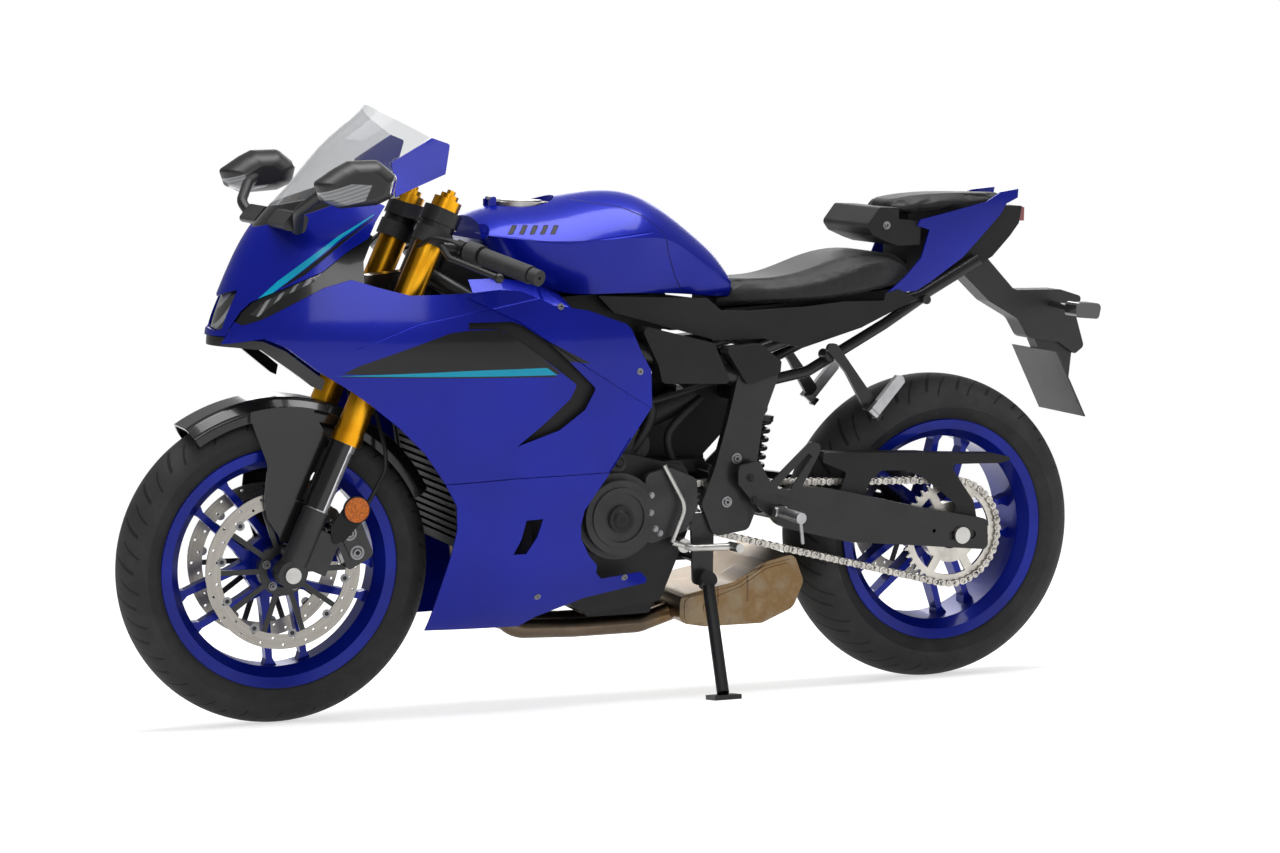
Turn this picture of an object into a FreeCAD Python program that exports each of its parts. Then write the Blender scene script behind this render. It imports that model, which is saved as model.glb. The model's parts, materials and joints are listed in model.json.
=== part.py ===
"""Full-faired sport motorcycle that leans on its side stand.

It is modelled upright, with X forward from the rear axle, Y to the left and Z up from the ground,
and then leaned onto the stand. Lengths are millimetres and angles are degrees.
"""
import FreeCAD
import Part
import math
import os
from functools import lru_cache

V = FreeCAD.Vector
X_AXIS = V(1, 0, 0)
Y_AXIS = V(0, 1, 0)
Z_AXIS = V(0, 0, 1)
ORIGIN = V(0, 0, 0)

# Parking
LEAN = 9.0
PARK_X = -672.0
PARK_Y = -148.0

# Wheels and tyres
WHEELBASE = 1395.0
FRONT_R = 300.0
FRONT_W = 118.0
FRONT_CROWN = 45.0
REAR_R = 315.0
REAR_W = 180.0
REAR_CROWN = 62.0
FRONT_RIM_HALF = 50.0
REAR_RIM_HALF = 75.0
FLANGE_R = 228.0
BEAD_R = 216.0
WELL_R = 196.0
RIM_WALL = 6.0
SPOKE_PAIRS = 5
SPOKE_ROOT_OFFSET = 27.0
SPOKE_TIP_OFFSET = 34.0
AXLE_R = 12.0
AXLE_HEAD_R = 15.0
BEARING_GAP = 0.05
SEAT_GAP = 0.3
FRONT_HUB_HALF = 48.0
REAR_HUB_LEFT = 80.0
REAR_HUB_RIGHT = 72.0
HUB_R = 42.0

# Steering and fork
RAKE = 23.8
TRAIL_OFFSET = 38.7
STEER_LOCK = 27.0
FORK_Y = 105.0
FORK_TOP = 755.0
GOLD_BOTTOM = 262.0
GOLD_R = 27.0
STANCHION_R = 20.5
COLLAR_R = 29.0
COLLAR_HEIGHT = 23.0
SEAL_R = 22.7
GUARD_R = 27.0
GUARD_INNER_R = 23.0
LEG_TOP = 128.0
LEG_R = 25.0
LOWER_CLAMP_Z = 400.0
UPPER_CLAMP_Z = 706.0
CLAMP_T = 34.0
CLAMP_R = 37.0
LOCK_CLEARANCE = 7.0
STEM_R = 17.0
HEAD_TUBE_R = 36.0
STEER_BORE_R = 17.05
SOCKET_R = 8.0
SOCKET_DEPTH = 60.0
BAR_HOLE_R = 3.0
BAR_HOLE_DEPTH = 18.0
HOSE_R = 4.0

# Brakes
DISC_R = 149.0
DISC_Y = 66.0
DISC_T = 4.5
REAR_DISC_R = 122.5
REAR_DISC_Y = 86.0
PAD_GAP = 1.5

# Driveline
CHAIN_Y = 106.0
PITCH = 15.875
REAR_TEETH = 42
DRIVE_TEETH = 16
DRIVE_X = 603.0
DRIVE_Z = 398.0
SPROCKET_T = 6.6
CHAIN_SIDE_GAP = 0.8
PLATE_T = 3.4
PLATE_PEAK = 7.2
PLATE_WAIST = 5.0
ROLLER_R = 4.6

# Engine
CASE_HALF = 96.0
ENGINE_BOLT_R = 8.0
ENGINE_BOLTS = ((546, 466), (576, 290))

# Swingarm
PIVOT_X = 522.0
PIVOT_Z = 403.0
ARM_IN = 121.0
ARM_T = 30.0
SPACER_R = 19.0
SPOOL_X = 62.0
SPOOL_Z = 326.0
SPOOL_R = 4.0
SPOOL_DEPTH = 22.0

# Rear shock
SHOCK_EYE_Z = 572.0
SHOCK_EYE_R = 14.0
SHOCK_LOW_X = 424.0
SHOCK_LOW_Z = 424.4
SHOCK_LOW_R = 12.0
SPRING_R = 25.0
SPRING_WIRE_R = 4.5
SPRING_TURNS = 6

# Frame plates and foot hangers
PLATE_Y = 118.0
PLATE_WIDE = 18.0
HANGER_Y = 154.0
PEG_X = 420.0
PEG_Z = 384.0
PEG_EYE_R = 10.0
PEG_EYE_HALF = 13.0
PEG_PIN_R = 3.0
REAR_PEG_X = 204.0
REAR_PEG_Y = 144.0
REAR_PEG_Z = 570.0
REAR_PEG_TILT = -131.0
REAR_PEG_HALF = 11.0

# Side stand
STAND_X = 560.0
STAND_Y = 145.0
STAND_Z = 250.0
FOOT_X = 585.0
FOOT_Y = 280.0
STAND_R = 12.0
STAND_AXIS = V(0.0, 0.826, 0.564)

# Bodywork
SKIN = 4.0
SCREEN_T = 3.0
LAMP_INSET = 5.0
LAMP_T = 6.0
LAMP_CASE_X = 1380.0
PANEL_GAP = 0.6
SMALLEST_PIECE = 5000.0
WING_RISE = 6.0
RECESS_DEPTH = 2.5
HULL_REAR_X = 690.0
HULL_POWER = 1.3
HULL_TAPER = 0.93
HULL_ANGLES = (8, 18, 30, 42, 54, 66, 78, 90)

# Height, nose x, half width and widest x of the front body, from the belly to the screen top
HULL_LEVELS = (
    (170, 1330, 100, 1000),
    (250, 1350, 150, 1000),
    (330, 1380, 182, 1000),
    (400, 1410, 197, 1010),
    (470, 1440, 207, 1020),
    (560, 1490, 219, 1040),
    (690, 1525, 227, 1050),
    (750, 1524, 222, 1050),
    (811, 1504, 208, 1040),
    (872, 1478, 194, 1020),
    (936, 1442, 178, 1000),
    (1000, 1385, 166, 985),
    (1062, 1332, 158, 975),
    (1110, 1285, 150, 965),
    (1180, 1215, 135, 950),
)


def box(x0, x1, y0, y1, z0, z1):
    """Block between two corners."""
    return Part.makeBox(x1 - x0, y1 - y0, z1 - z0, V(x0, y0, z0))


def rod(start, end, radius):
    """Round bar between two points."""
    line = end - start
    return Part.makeCylinder(radius, line.Length, start, line)


def disc_y(x, z, radius, y0, y1):
    """Round disc about an axis along Y."""
    return Part.makeCylinder(radius, y1 - y0, V(x, y0, z), Y_AXIS)


def ring_y(x, z, outer, inner, y0, y1):
    """Flat ring about an axis along Y."""
    return disc_y(x, z, outer, y0, y1).cut(disc_y(x, z, inner, y0 - 1, y1 + 1))


def mirror(shape):
    """The same shape on the other side of the bike."""
    return shape.mirror(ORIGIN, Y_AXIS)


def both(shape):
    """A left piece with its mirror image, as two solids."""
    return Part.makeCompound([shape, mirror(shape)])


def fuse(shapes):
    """Join shapes into one solid."""
    joined = shapes[0]
    for shape in shapes[1:]:
        joined = joined.fuse(shape)
    merged = joined.removeSplitter()
    return merged if merged.isValid() else joined


def corner_wire(points, place):
    """Closed wire through 2-D points; a third value rounds that corner by its radius."""
    edges = []
    ends = []
    count = len(points)
    for i, point in enumerate(points):
        here = V(point[0], point[1], 0)
        radius = point[2] if len(point) > 2 else 0
        if not radius:
            ends.append((here, here, None))
            continue
        before = V(points[i - 1][0], points[i - 1][1], 0)
        after = V(points[(i + 1) % count][0], points[(i + 1) % count][1], 0)
        to_before = (before - here).normalize()
        to_after = (after - here).normalize()
        half = to_before.getAngle(to_after) / 2
        reach = radius / math.tan(half)
        middle = (to_before + to_after).normalize() * (radius / math.sin(half) - radius)
        ends.append((here + to_before * reach, here + to_after * reach, here + middle))
    for i, (start, end, middle) in enumerate(ends):
        if middle is not None:
            edges.append(Part.Arc(place(start), place(middle), place(end)).toShape())
        following = ends[(i + 1) % count][0]
        if (following - end).Length > 1e-6:
            edges.append(Part.LineSegment(place(end), place(following)).toShape())
    return Part.Wire(edges)


def prism_y(points, y0, y1):
    """Outline of (x, z) points carried from y0 to y1."""
    wire = corner_wire(points, lambda p: V(p.x, y0, p.y))
    return Part.Face(wire).extrude(V(0, y1 - y0, 0))


def grown_y(points, margin, y0, y1):
    """Prism of an (x, z) outline grown outward by a margin."""
    wire = corner_wire(points, lambda p: V(p.x, y0, p.y)).makeOffset2D(margin)
    return Part.Face(wire).extrude(V(0, y1 - y0, 0))


def prism_x(points, x0, x1):
    """Outline of (y, z) points carried from x0 to x1."""
    wire = corner_wire(points, lambda p: V(x0, p.x, p.y))
    return Part.Face(wire).extrude(V(x1 - x0, 0, 0))


def prism_z(points, z0, z1):
    """Outline of (x, y) points carried from z0 to z1."""
    wire = corner_wire(points, lambda p: V(p.x, p.y, z0))
    return Part.Face(wire).extrude(V(0, 0, z1 - z0))


def bent_path(points, bend):
    """Open wire through 3-D points with an arc at each inner point."""
    edges = []
    start = points[0]
    for i in range(1, len(points) - 1):
        here = points[i]
        to_before = (points[i - 1] - here).normalize()
        to_after = (points[i + 1] - here).normalize()
        half = to_before.getAngle(to_after) / 2
        shortest = min((points[i - 1] - here).Length, (points[i + 1] - here).Length)
        radius = min(bend, 0.45 * shortest * math.tan(half))
        reach = radius / math.tan(half)
        middle = here + (to_before + to_after).normalize() * (radius / math.sin(half) - radius)
        arc_start = here + to_before * reach
        arc_end = here + to_after * reach
        edges.append(Part.LineSegment(start, arc_start).toShape())
        edges.append(Part.Arc(arc_start, middle, arc_end).toShape())
        start = arc_end
    edges.append(Part.LineSegment(start, points[-1]).toShape())
    return Part.Wire(edges)


def bent_tube(points, radius, bend):
    """Round tube along a bent path."""
    path = bent_path(points, bend)
    direction = (points[1] - points[0]).normalize()
    circle = Part.Wire(Part.Circle(points[0], direction, radius).toShape())
    return path.makePipeShell([circle], True, False)


def loft(wires):
    """Smooth solid through closed wires."""
    return Part.makeLoft(wires, True, False)


def turned_ring(profile, x, z):
    """Solid turned about an axis along Y from (radius, y) points."""
    wire = corner_wire(profile, lambda p: V(x + p.x, p.y, z))
    return Part.Face(wire).revolve(V(x, 0, z), Y_AXIS, 360)


def around_y(shape, x, z, count, start=0.0):
    """Copies of a shape turned about an axis along Y."""
    copies = []
    for i in range(count):
        copy = shape.copy()
        copy.rotate(V(x, 0, z), Y_AXIS, start + 360.0 * i / count)
        copies.append(copy)
    return copies


def on_fork(shape):
    """Carry a shape from fork axes (origin on the front axle, Z up the leg) onto the bike."""
    placed = shape.copy()
    placed.rotate(ORIGIN, Y_AXIS, -RAKE)
    placed.translate(V(WHEELBASE, 0, FRONT_R))
    return placed


def fork_point(x, y, z):
    """A point given in fork axes, on the bike."""
    turned = FreeCAD.Rotation(Y_AXIS, -RAKE).multVec(V(x, y, z))
    return turned + V(WHEELBASE, 0, FRONT_R)


def lean_lift():
    """How far the leaned rear tyre has to rise to touch the ground."""
    lean = math.radians(LEAN)
    side = REAR_W / 2 * math.sin(lean)
    down = REAR_CROWN * math.cos(lean)
    return math.hypot(side, down) - down


def park(shape):
    """Lean the upright bike to the left and set it over the origin."""
    placed = shape.copy()
    placed.rotate(ORIGIN, X_AXIS, -LEAN)
    placed.translate(V(PARK_X, PARK_Y, lean_lift()))
    return placed


def ground_z(y):
    """Height, in the upright bike, of the ground under the leaned bike."""
    lean = math.radians(LEAN)
    return (y * math.sin(lean) - lean_lift()) / math.cos(lean)


# Wheels

def tyre(x, z, radius, width, crown, rim_half):
    """Tyre with a round crown, straight sidewalls and its two beads."""
    centre_r = radius - crown
    half = width / 2
    bead_gap = 0.2
    bead_in = BEAD_R + bead_gap
    bead_y = rim_half - RIM_WALL - bead_gap
    wall = 13.0

    def arch(top_r, side_y):
        centre = V(x + centre_r, 0, z)
        top = V(x + top_r, 0, z)
        side = V(x + centre_r, side_y, z)
        if top_r - centre_r >= side_y:
            ellipse = Part.Ellipse(top, side, centre)
            return Part.ArcOfEllipse(ellipse, -math.pi / 2, math.pi / 2)
        ellipse = Part.Ellipse(side, top, centre)
        turned = Part.ArcOfEllipse(ellipse, 0, math.pi)
        middle = turned.value(math.pi / 2)
        if middle.x < centre.x:
            return Part.ArcOfEllipse(ellipse, math.pi, 2 * math.pi)
        return turned

    def at(r, y):
        return V(x + r, y, z)

    outer = arch(radius, half).toShape()
    inner = arch(radius - wall, half - wall).toShape()
    lower_y = bead_y - wall * 0.75
    sides = []
    for sign in (1, -1):
        outside = at(centre_r, sign * half)
        inside = at(centre_r, sign * (half - wall))
        sides.append(Part.LineSegment(outside, at(bead_in + 14, sign * bead_y)).toShape())
        sides.append(Part.LineSegment(at(bead_in + 14, sign * bead_y), at(bead_in, sign * bead_y)).toShape())
        sides.append(Part.LineSegment(at(bead_in, sign * bead_y), at(bead_in, sign * lower_y)).toShape())
        sides.append(Part.LineSegment(at(bead_in, sign * lower_y), inside).toShape())
    edges = [outer, inner] + sides
    wire = Part.Wire(Part.__sortEdges__(edges))
    return Part.Face(wire).revolve(V(x, 0, z), Y_AXIS, 360)


def rim_profile(half):
    """Rim section in (radius, y): flanges, bead seats and the drop well."""
    inner = WELL_R - RIM_WALL
    return [
        (FLANGE_R, half, 2),
        (FLANGE_R, half - RIM_WALL, 2),
        (BEAD_R, half - RIM_WALL),
        (BEAD_R - 3, half - 24),
        (WELL_R, half - 34, 4),
        (WELL_R, -half + 34, 4),
        (BEAD_R - 3, -half + 24),
        (BEAD_R, -half + RIM_WALL),
        (FLANGE_R, -half + RIM_WALL, 2),
        (FLANGE_R, -half, 2),
        (BEAD_R - 9, -half + 4),
        (inner, -half + 26, 5),
        (inner, half - 26, 5),
        (BEAD_R - 9, half - 4),
    ]


def spoke_bars(turn):
    """Five pairs of near-parallel spokes as flat bars, cut later to their thickness."""
    bars = []
    for side in (-1, 1):
        root, tip = side * SPOKE_ROOT_OFFSET, side * SPOKE_TIP_OFFSET
        start, end = HUB_R - 12, WELL_R - 2
        outline = [(start, root - 12), (HUB_R + 40, root * 1.08 - 7.5), (end - 20, tip - 6.5), (end, tip - 15),
                   (end, tip + 15), (end - 20, tip + 6.5), (HUB_R + 40, root * 1.08 + 7.5), (start, root + 12)]
        bars.append(prism_y(outline, -60, 60))
    pair = bars[0].fuse(bars[1])
    return around_y(pair, 0, 0, SPOKE_PAIRS, turn)


def wheel(x, z, rim_half, hub_left, hub_right, hub_y, rim_y, turn):
    """Cast wheel: rim, five pairs of spokes and a bored hub."""
    rim = turned_ring(rim_profile(rim_half), 0, 0)
    envelope = turned_ring([(AXLE_R + 6, hub_y), (WELL_R - 2, rim_y), (WELL_R - 2, -rim_y),
                            (AXLE_R + 6, -hub_y)], 0, 0)
    bars = spoke_bars(turn)
    star = bars[0].multiFuse(bars[1:]).common(envelope)
    hub = disc_y(0, 0, HUB_R, -hub_right, hub_left)
    web = disc_y(0, 0, HUB_R + 18, -hub_y + 2, hub_y - 2)
    bore = disc_y(0, 0, AXLE_R + BEARING_GAP, -hub_right - 1, hub_left + 1)
    shape = rim.fuse([star, hub, web]).cut(bore)
    shape.translate(V(x, 0, z))
    return shape


def front_rim():
    return wheel(WHEELBASE, FRONT_R, FRONT_RIM_HALF, FRONT_HUB_HALF, FRONT_HUB_HALF, 15, 11, -46.7)


def front_tyre():
    return tyre(WHEELBASE, FRONT_R, FRONT_R, FRONT_W, FRONT_CROWN, FRONT_RIM_HALF)


def rear_rim():
    return wheel(0, REAR_R, REAR_RIM_HALF, REAR_HUB_LEFT, REAR_HUB_RIGHT, 22, 15, 39)


def rear_tyre():
    return tyre(0, REAR_R, REAR_R, REAR_W, REAR_CROWN, REAR_RIM_HALF)


def brake_disc(x, z, radius, y0, y1, hub_face):
    """Drilled ring on a spoked carrier that reaches the hub."""
    track = 28.0
    ring = ring_y(x, z, radius, radius - track, y0, y1)
    holes = []
    for row, row_r in enumerate((radius - 8, radius - 20)):
        hole = disc_y(x + row_r, z, 2.6, y0 - 1, y1 + 1)
        holes += around_y(hole, x, z, 20, row * 9.0)
    ring = ring.cut(Part.makeCompound(holes))
    inner, outer = sorted((hub_face, y0), key=abs)
    low, high = sorted((inner, y1 if outer > 0 else y0))
    bell = ring_y(x, z, HUB_R + 6, HUB_R - 10, low, high)
    arm = box(x + HUB_R, x + radius - track + 2, y0, y1, z - 5, z + 5)
    return fuse([ring, bell] + around_y(arm, x, z, 10))


def front_discs():
    left = brake_disc(WHEELBASE, FRONT_R, DISC_R, DISC_Y - DISC_T / 2, DISC_Y + DISC_T / 2, FRONT_HUB_HALF)
    return both(left)


def rear_disc():
    left = brake_disc(0, REAR_R, REAR_DISC_R, REAR_DISC_Y - DISC_T / 2, REAR_DISC_Y + DISC_T / 2, REAR_HUB_RIGHT)
    return mirror(left)


# Driveline

def pitch_radius(teeth):
    """Radius of the circle that the chain's pins lie on."""
    return PITCH / (2 * math.sin(math.pi / teeth))


def sprocket(x, z, teeth, bore_r, turn):
    """Toothed disc between the chain's plates."""
    pitch_r = pitch_radius(teeth)
    root = pitch_r - ROLLER_R - 0.6
    tip = pitch_r + 4.0
    points = []
    for i in range(teeth):
        for share, radius in ((-0.30, root), (-0.10, tip), (0.10, tip), (0.30, root)):
            angle = math.radians(turn + 360.0 * (i + share) / teeth)
            points.append((x + radius * math.cos(angle), z + radius * math.sin(angle)))
    half = SPROCKET_T / 2
    return prism_y(points, CHAIN_Y - half, CHAIN_Y + half).cut(disc_y(x, z, bore_r, 0, 200))


def rear_sprocket():
    """Sprocket ring with windows, and the carrier that joins it to the hub."""
    plate = sprocket(0, REAR_R, REAR_TEETH, HUB_R - 8, 0)
    window = ring_y(0, REAR_R, 88, 62, 0, 200)
    keep = [box(50, 100, 0, 200, REAR_R - 9, REAR_R + 9)]
    spokes = Part.makeCompound(around_y(keep[0], 0, REAR_R, 6))
    plate = plate.cut(window.cut(spokes))
    carrier = ring_y(0, REAR_R, 60, HUB_R - 8, REAR_HUB_LEFT, CHAIN_Y - SPROCKET_T / 2)
    return fuse([plate, carrier])


def drive_sprocket():
    """Small sprocket on the gearbox shaft."""
    plate = sprocket(DRIVE_X, DRIVE_Z, DRIVE_TEETH, 1.0, 0)
    shaft = disc_y(DRIVE_X, DRIVE_Z, 16, CASE_HALF, CHAIN_Y + 8)
    return fuse([plate, shaft])


def chain_runs():
    """Tangent points and lengths of the open belt round both sprockets."""
    big = pitch_radius(REAR_TEETH)
    small = pitch_radius(DRIVE_TEETH)
    span = math.hypot(DRIVE_X, DRIVE_Z - REAR_R)
    tilt = math.atan2(DRIVE_Z - REAR_R, DRIVE_X)
    flare = math.asin((big - small) / span)
    straight = math.sqrt(span ** 2 - (big - small) ** 2)
    return big, small, tilt, flare, straight


def chain_point(s):
    """Point and outward direction at a length along the loop, from the rear top tangent forward."""
    big, small, tilt, flare, straight = chain_runs()
    up = tilt + math.pi / 2 - flare
    down = tilt - math.pi / 2 + flare
    front_arc = small * (math.pi - 2 * flare)
    if s < straight:
        out = up
        share = s / straight
        x = share * (DRIVE_X + small * math.cos(up)) + (1 - share) * big * math.cos(up)
        z = share * (DRIVE_Z + small * math.sin(up)) + (1 - share) * (REAR_R + big * math.sin(up))
    elif s < straight + front_arc:
        out = up - (s - straight) / small
        x = DRIVE_X + small * math.cos(out)
        z = DRIVE_Z + small * math.sin(out)
    elif s < 2 * straight + front_arc:
        out = down
        share = (s - straight - front_arc) / straight
        x = (1 - share) * (DRIVE_X + small * math.cos(down)) + share * big * math.cos(down)
        z = (1 - share) * (DRIVE_Z + small * math.sin(down)) + share * (REAR_R + big * math.sin(down))
    else:
        out = down - (s - 2 * straight - front_arc) / big
        x = big * math.cos(out)
        z = REAR_R + big * math.sin(out)
    return x, z, out


def chain():
    """Two scalloped plate loops, with rollers where the chain runs straight."""
    big, small, tilt, flare, straight = chain_runs()
    front_arc = small * (math.pi - 2 * flare)
    length = 2 * straight + front_arc + big * (math.pi + 2 * flare)
    links = 2 * round(length / PITCH / 2)
    step = length / links
    outer, inner = [], []
    for i in range(2 * links):
        x, z, out = chain_point(i * step / 2)
        height = PLATE_PEAK if i % 2 == 0 else PLATE_WAIST
        outer.append((x + height * math.cos(out), z + height * math.sin(out)))
        inner.append((x - height * math.cos(out), z - height * math.sin(out)))
    inside = SPROCKET_T / 2 + CHAIN_SIDE_GAP
    band = prism_y(outer, 0, PLATE_T).cut(prism_y(inner, -1, PLATE_T + 1))
    left = band.translated(V(0, CHAIN_Y + inside, 0))
    right = band.translated(V(0, CHAIN_Y - inside - PLATE_T, 0))
    rollers = []
    margin = 45.0
    for i in range(links):
        s = i * step
        on_top = margin < s < straight - margin
        below = straight + front_arc + margin < s < 2 * straight + front_arc - margin
        if i % 2 == 0 and (on_top or below):
            x, z, out = chain_point(s)
            points = [(x + ROLLER_R * math.cos(math.radians(a)), z + ROLLER_R * math.sin(math.radians(a)))
                      for a in range(0, 360, 60)]
            rollers.append(prism_y(points, CHAIN_Y - inside - 1, CHAIN_Y + inside + 1))
    return left.fuse([right] + rollers)


def rear_axle():
    """Axle, its nuts, and the spacers between the wheel and the arms."""
    end = ARM_IN + ARM_T
    bar = disc_y(0, REAR_R, AXLE_R, -end - 8, end + 8)
    nuts = [disc_y(0, REAR_R, 17, side, side + 8) for side in (end, -end - 8)]
    left_gap = CHAIN_Y + SPROCKET_T / 2
    spacer = disc_y(0, REAR_R, SPACER_R, left_gap + 1, ARM_IN)
    right = disc_y(0, REAR_R, SPACER_R, -ARM_IN, -REAR_DISC_Y - DISC_T / 2 - 1)
    return fuse([bar, spacer, right] + nuts)


def arm_outline():
    """Side view of one swingarm arm."""
    return [
        (425, 412, 16),
        (368, 430, 30),
        (270, 416, 60),
        (104, 377, 60),
        (-60, 345, 12),
        (-64, 282, 12),
        (120, 300, 60),
        (253, 312, 60),
        (403, 348, 40),
        (425, 372, 12),
    ]


def swingarm():
    """Two arms, the cross member inside the chain loop, and the pivot tube."""
    left = prism_y(arm_outline(), ARM_IN, ARM_IN + ARM_T)
    slot = prism_y([(-34, REAR_R + 9, 8), (-34, REAR_R - 9, 8), (30, REAR_R - 9, 8), (30, REAR_R + 9, 8)],
                   ARM_IN + ARM_T - 4, ARM_IN + ARM_T + 1)
    left = left.cut(slot)
    cross = prism_y([(425, 412, 10), (365, 420, 14), (356, 362, 14), (425, 364, 10)], -ARM_IN, ARM_IN)
    pivot = disc_y(PIVOT_X, PIVOT_Z, 22, -PLATE_Y + 0.3, PLATE_Y - 0.3)
    neck = prism_y([(PIVOT_X, 421), (415, 411), (415, 368), (PIVOT_X, 384)], -92, 92)
    arm = left.fuse([mirror(left), cross, pivot, neck])
    spool = disc_y(SPOOL_X, SPOOL_Z, SPOOL_R, ARM_IN + ARM_T - SPOOL_DEPTH, 200)
    holes = [disc_y(0, REAR_R, AXLE_R + BEARING_GAP, -200, 200), spool, mirror(spool)]
    return arm.cut(Part.makeCompound(holes))


def chain_guard():
    """Thin guard over the top run."""
    y = ARM_IN + 9
    outline = [(308, 491, 6), (82, 484), (52, 481), (-88, 475, 10), (-130, 465, 4), (-99, 456), (22, 458, 8),
               (-37, 380, 20), (-46, 340), (4, 340), (5, 377, 20), (81, 434, 10), (122, 449, 10), (175, 451, 10),
               (199, 434, 10), (215, 400), (272, 404), (254, 450, 8), (308, 472, 4)]
    side = prism_y(outline, y, y + 4).cut(prism_y(arm_outline(), y - 1, y + 5))
    top = prism_y([(300, 491), (82, 484), (52, 481), (-88, 475), (-88, 471), (52, 477), (82, 480), (300, 487)],
                  CHAIN_Y - 12, y + 4)
    return fuse([side, top])


# Front end

def fork_tubes():
    """Gold outer tubes with their caps."""
    tube = Part.makeCylinder(GOLD_R, FORK_TOP - GOLD_BOTTOM, V(0, FORK_Y, GOLD_BOTTOM))
    cap = Part.makeCylinder(17, 10, V(0, FORK_Y, FORK_TOP))
    nut = Part.makeCylinder(8, 18, V(0, FORK_Y, FORK_TOP))
    collar = Part.makeCylinder(COLLAR_R, COLLAR_HEIGHT, V(0, FORK_Y, GOLD_BOTTOM))
    return both(on_fork(fuse([tube, cap, nut, collar])))


def fork_legs():
    """Chrome stanchions in black feet that clamp the axle."""
    stanchion = Part.makeCylinder(STANCHION_R, GOLD_BOTTOM - LEG_TOP, V(0, FORK_Y, LEG_TOP))
    seal = Part.makeCylinder(SEAL_R, 14, V(0, FORK_Y, GOLD_BOTTOM - 14))
    foot = Part.makeCylinder(LEG_R, LEG_TOP + 10, V(0, FORK_Y, -10))
    clamp = disc_y(0, 0, 26, FORK_Y - 22, FORK_Y + 22)
    lug = box(-62, 0, FORK_Y - 14, FORK_Y + 14, 20, 96)
    leg = fuse([stanchion, seal, foot, clamp, lug])
    holes = [disc_y(0, 0, AXLE_R + BEARING_GAP, 0, 200), disc_y(0, 0, AXLE_HEAD_R + SEAT_GAP, FORK_Y + 22, 200)]
    return both(on_fork(leg.cut(Part.makeCompound(holes))))


def front_axle():
    """Axle with its head, nut and the spacers beside the hub."""
    end = FORK_Y + 22
    bar = disc_y(WHEELBASE, FRONT_R, AXLE_R, -end - 6, end + 6)
    heads = [disc_y(WHEELBASE, FRONT_R, AXLE_HEAD_R, side, side + 6) for side in (end, -end - 6)]
    spacer = disc_y(WHEELBASE, FRONT_R, 17, FRONT_HUB_HALF + 1, FORK_Y - LEG_R - 0.3)
    return fuse([bar, spacer, mirror(spacer)] + heads)


def triple_clamps():
    """Lower and upper clamp plates on the steering stem."""
    def plate(z, thick, reach):
        outline = [(24, FORK_Y - 6), (-26, FORK_Y - 6), (-TRAIL_OFFSET - reach, 0, 60),
                   (-26, -FORK_Y + 6), (24, -FORK_Y + 6), (2, 0, 60)]
        rings = [Part.makeCylinder(CLAMP_R, thick, V(0, side * FORK_Y, z)) for side in (-1, 1)]
        flat = fuse([prism_z(outline, z, z + thick)] + rings)
        holes = [Part.makeCylinder(GOLD_R, thick + 2, V(0, side * FORK_Y, z - 1)) for side in (-1, 1)]
        return flat.cut(Part.makeCompound(holes))
    lower = plate(LOWER_CLAMP_Z, CLAMP_T, 30)
    upper = plate(UPPER_CLAMP_Z, CLAMP_T - 6, 28)
    stem = Part.makeCylinder(STEM_R, UPPER_CLAMP_Z - LOWER_CLAMP_Z, V(-TRAIL_OFFSET, 0, LOWER_CLAMP_Z))
    nut = Part.makeCylinder(20, 16, V(-TRAIL_OFFSET, 0, UPPER_CLAMP_Z + CLAMP_T - 6))
    socket = Part.makeCylinder(SOCKET_R, SOCKET_DEPTH, V(-TRAIL_OFFSET, 0, LOWER_CLAMP_Z))
    return on_fork(fuse([lower, upper, stem, nut]).cut(socket))


BAR_ROOT = fork_point(-4, FORK_Y, 679)
BAR_TIP = V(1000, 347, 860)


def bar_point(share):
    """A point along the left clip-on, from its clamp to its end."""
    return BAR_ROOT + (BAR_TIP - BAR_ROOT) * share


def handlebars():
    """Clip-on bars with clamps, grips, end weights and switch blocks."""
    clamp = on_fork(Part.makeCylinder(GOLD_R + 9, 30, V(0, FORK_Y, 664)))
    inside = on_fork(Part.makeCylinder(GOLD_R, 60, V(0, FORK_Y, 640)))
    bar = rod(bar_point(0), bar_point(0.97), 11)
    grip = rod(bar_point(0.48), bar_point(0.92), 17)
    weight = rod(bar_point(0.93), bar_point(1), 15)
    pod = rod(bar_point(0.34), bar_point(0.46), 20)
    inward = (BAR_ROOT - BAR_TIP).normalize() * BAR_HOLE_DEPTH
    end_hole = rod(BAR_TIP, BAR_TIP + inward, BAR_HOLE_R)
    return both(fuse([clamp, bar, grip, weight, pod]).cut(inside.fuse(end_hole)))


def levers():
    """Clutch and brake levers on their perches, with the brake's fluid cup."""
    perch = bar_point(0.27)
    pivot = perch + V(42, 8, 4)
    tip = bar_point(0.93) + V(66, 6, -4)
    knee = bar_point(0.5) + V(72, 0, 0)
    band = rod(bar_point(0.24), bar_point(0.31), 16)
    arm = rod(perch, pivot, 10)
    blade = bent_tube([pivot, knee, tip], 6, 30)
    ball = Part.makeSphere(9, tip)
    inside = rod(bar_point(0.2), bar_point(0.35), 11)
    lever = fuse([band, arm, blade, ball]).cut(inside)
    cup = Part.makeCylinder(19, 28, mirror(Part.Vertex(perch + V(14, 0, 24))).Point)
    return Part.makeCompound([lever, fuse([mirror(lever), cup, mirror(rod(pivot, perch + V(14, 0, 36), 9))])])


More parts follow.
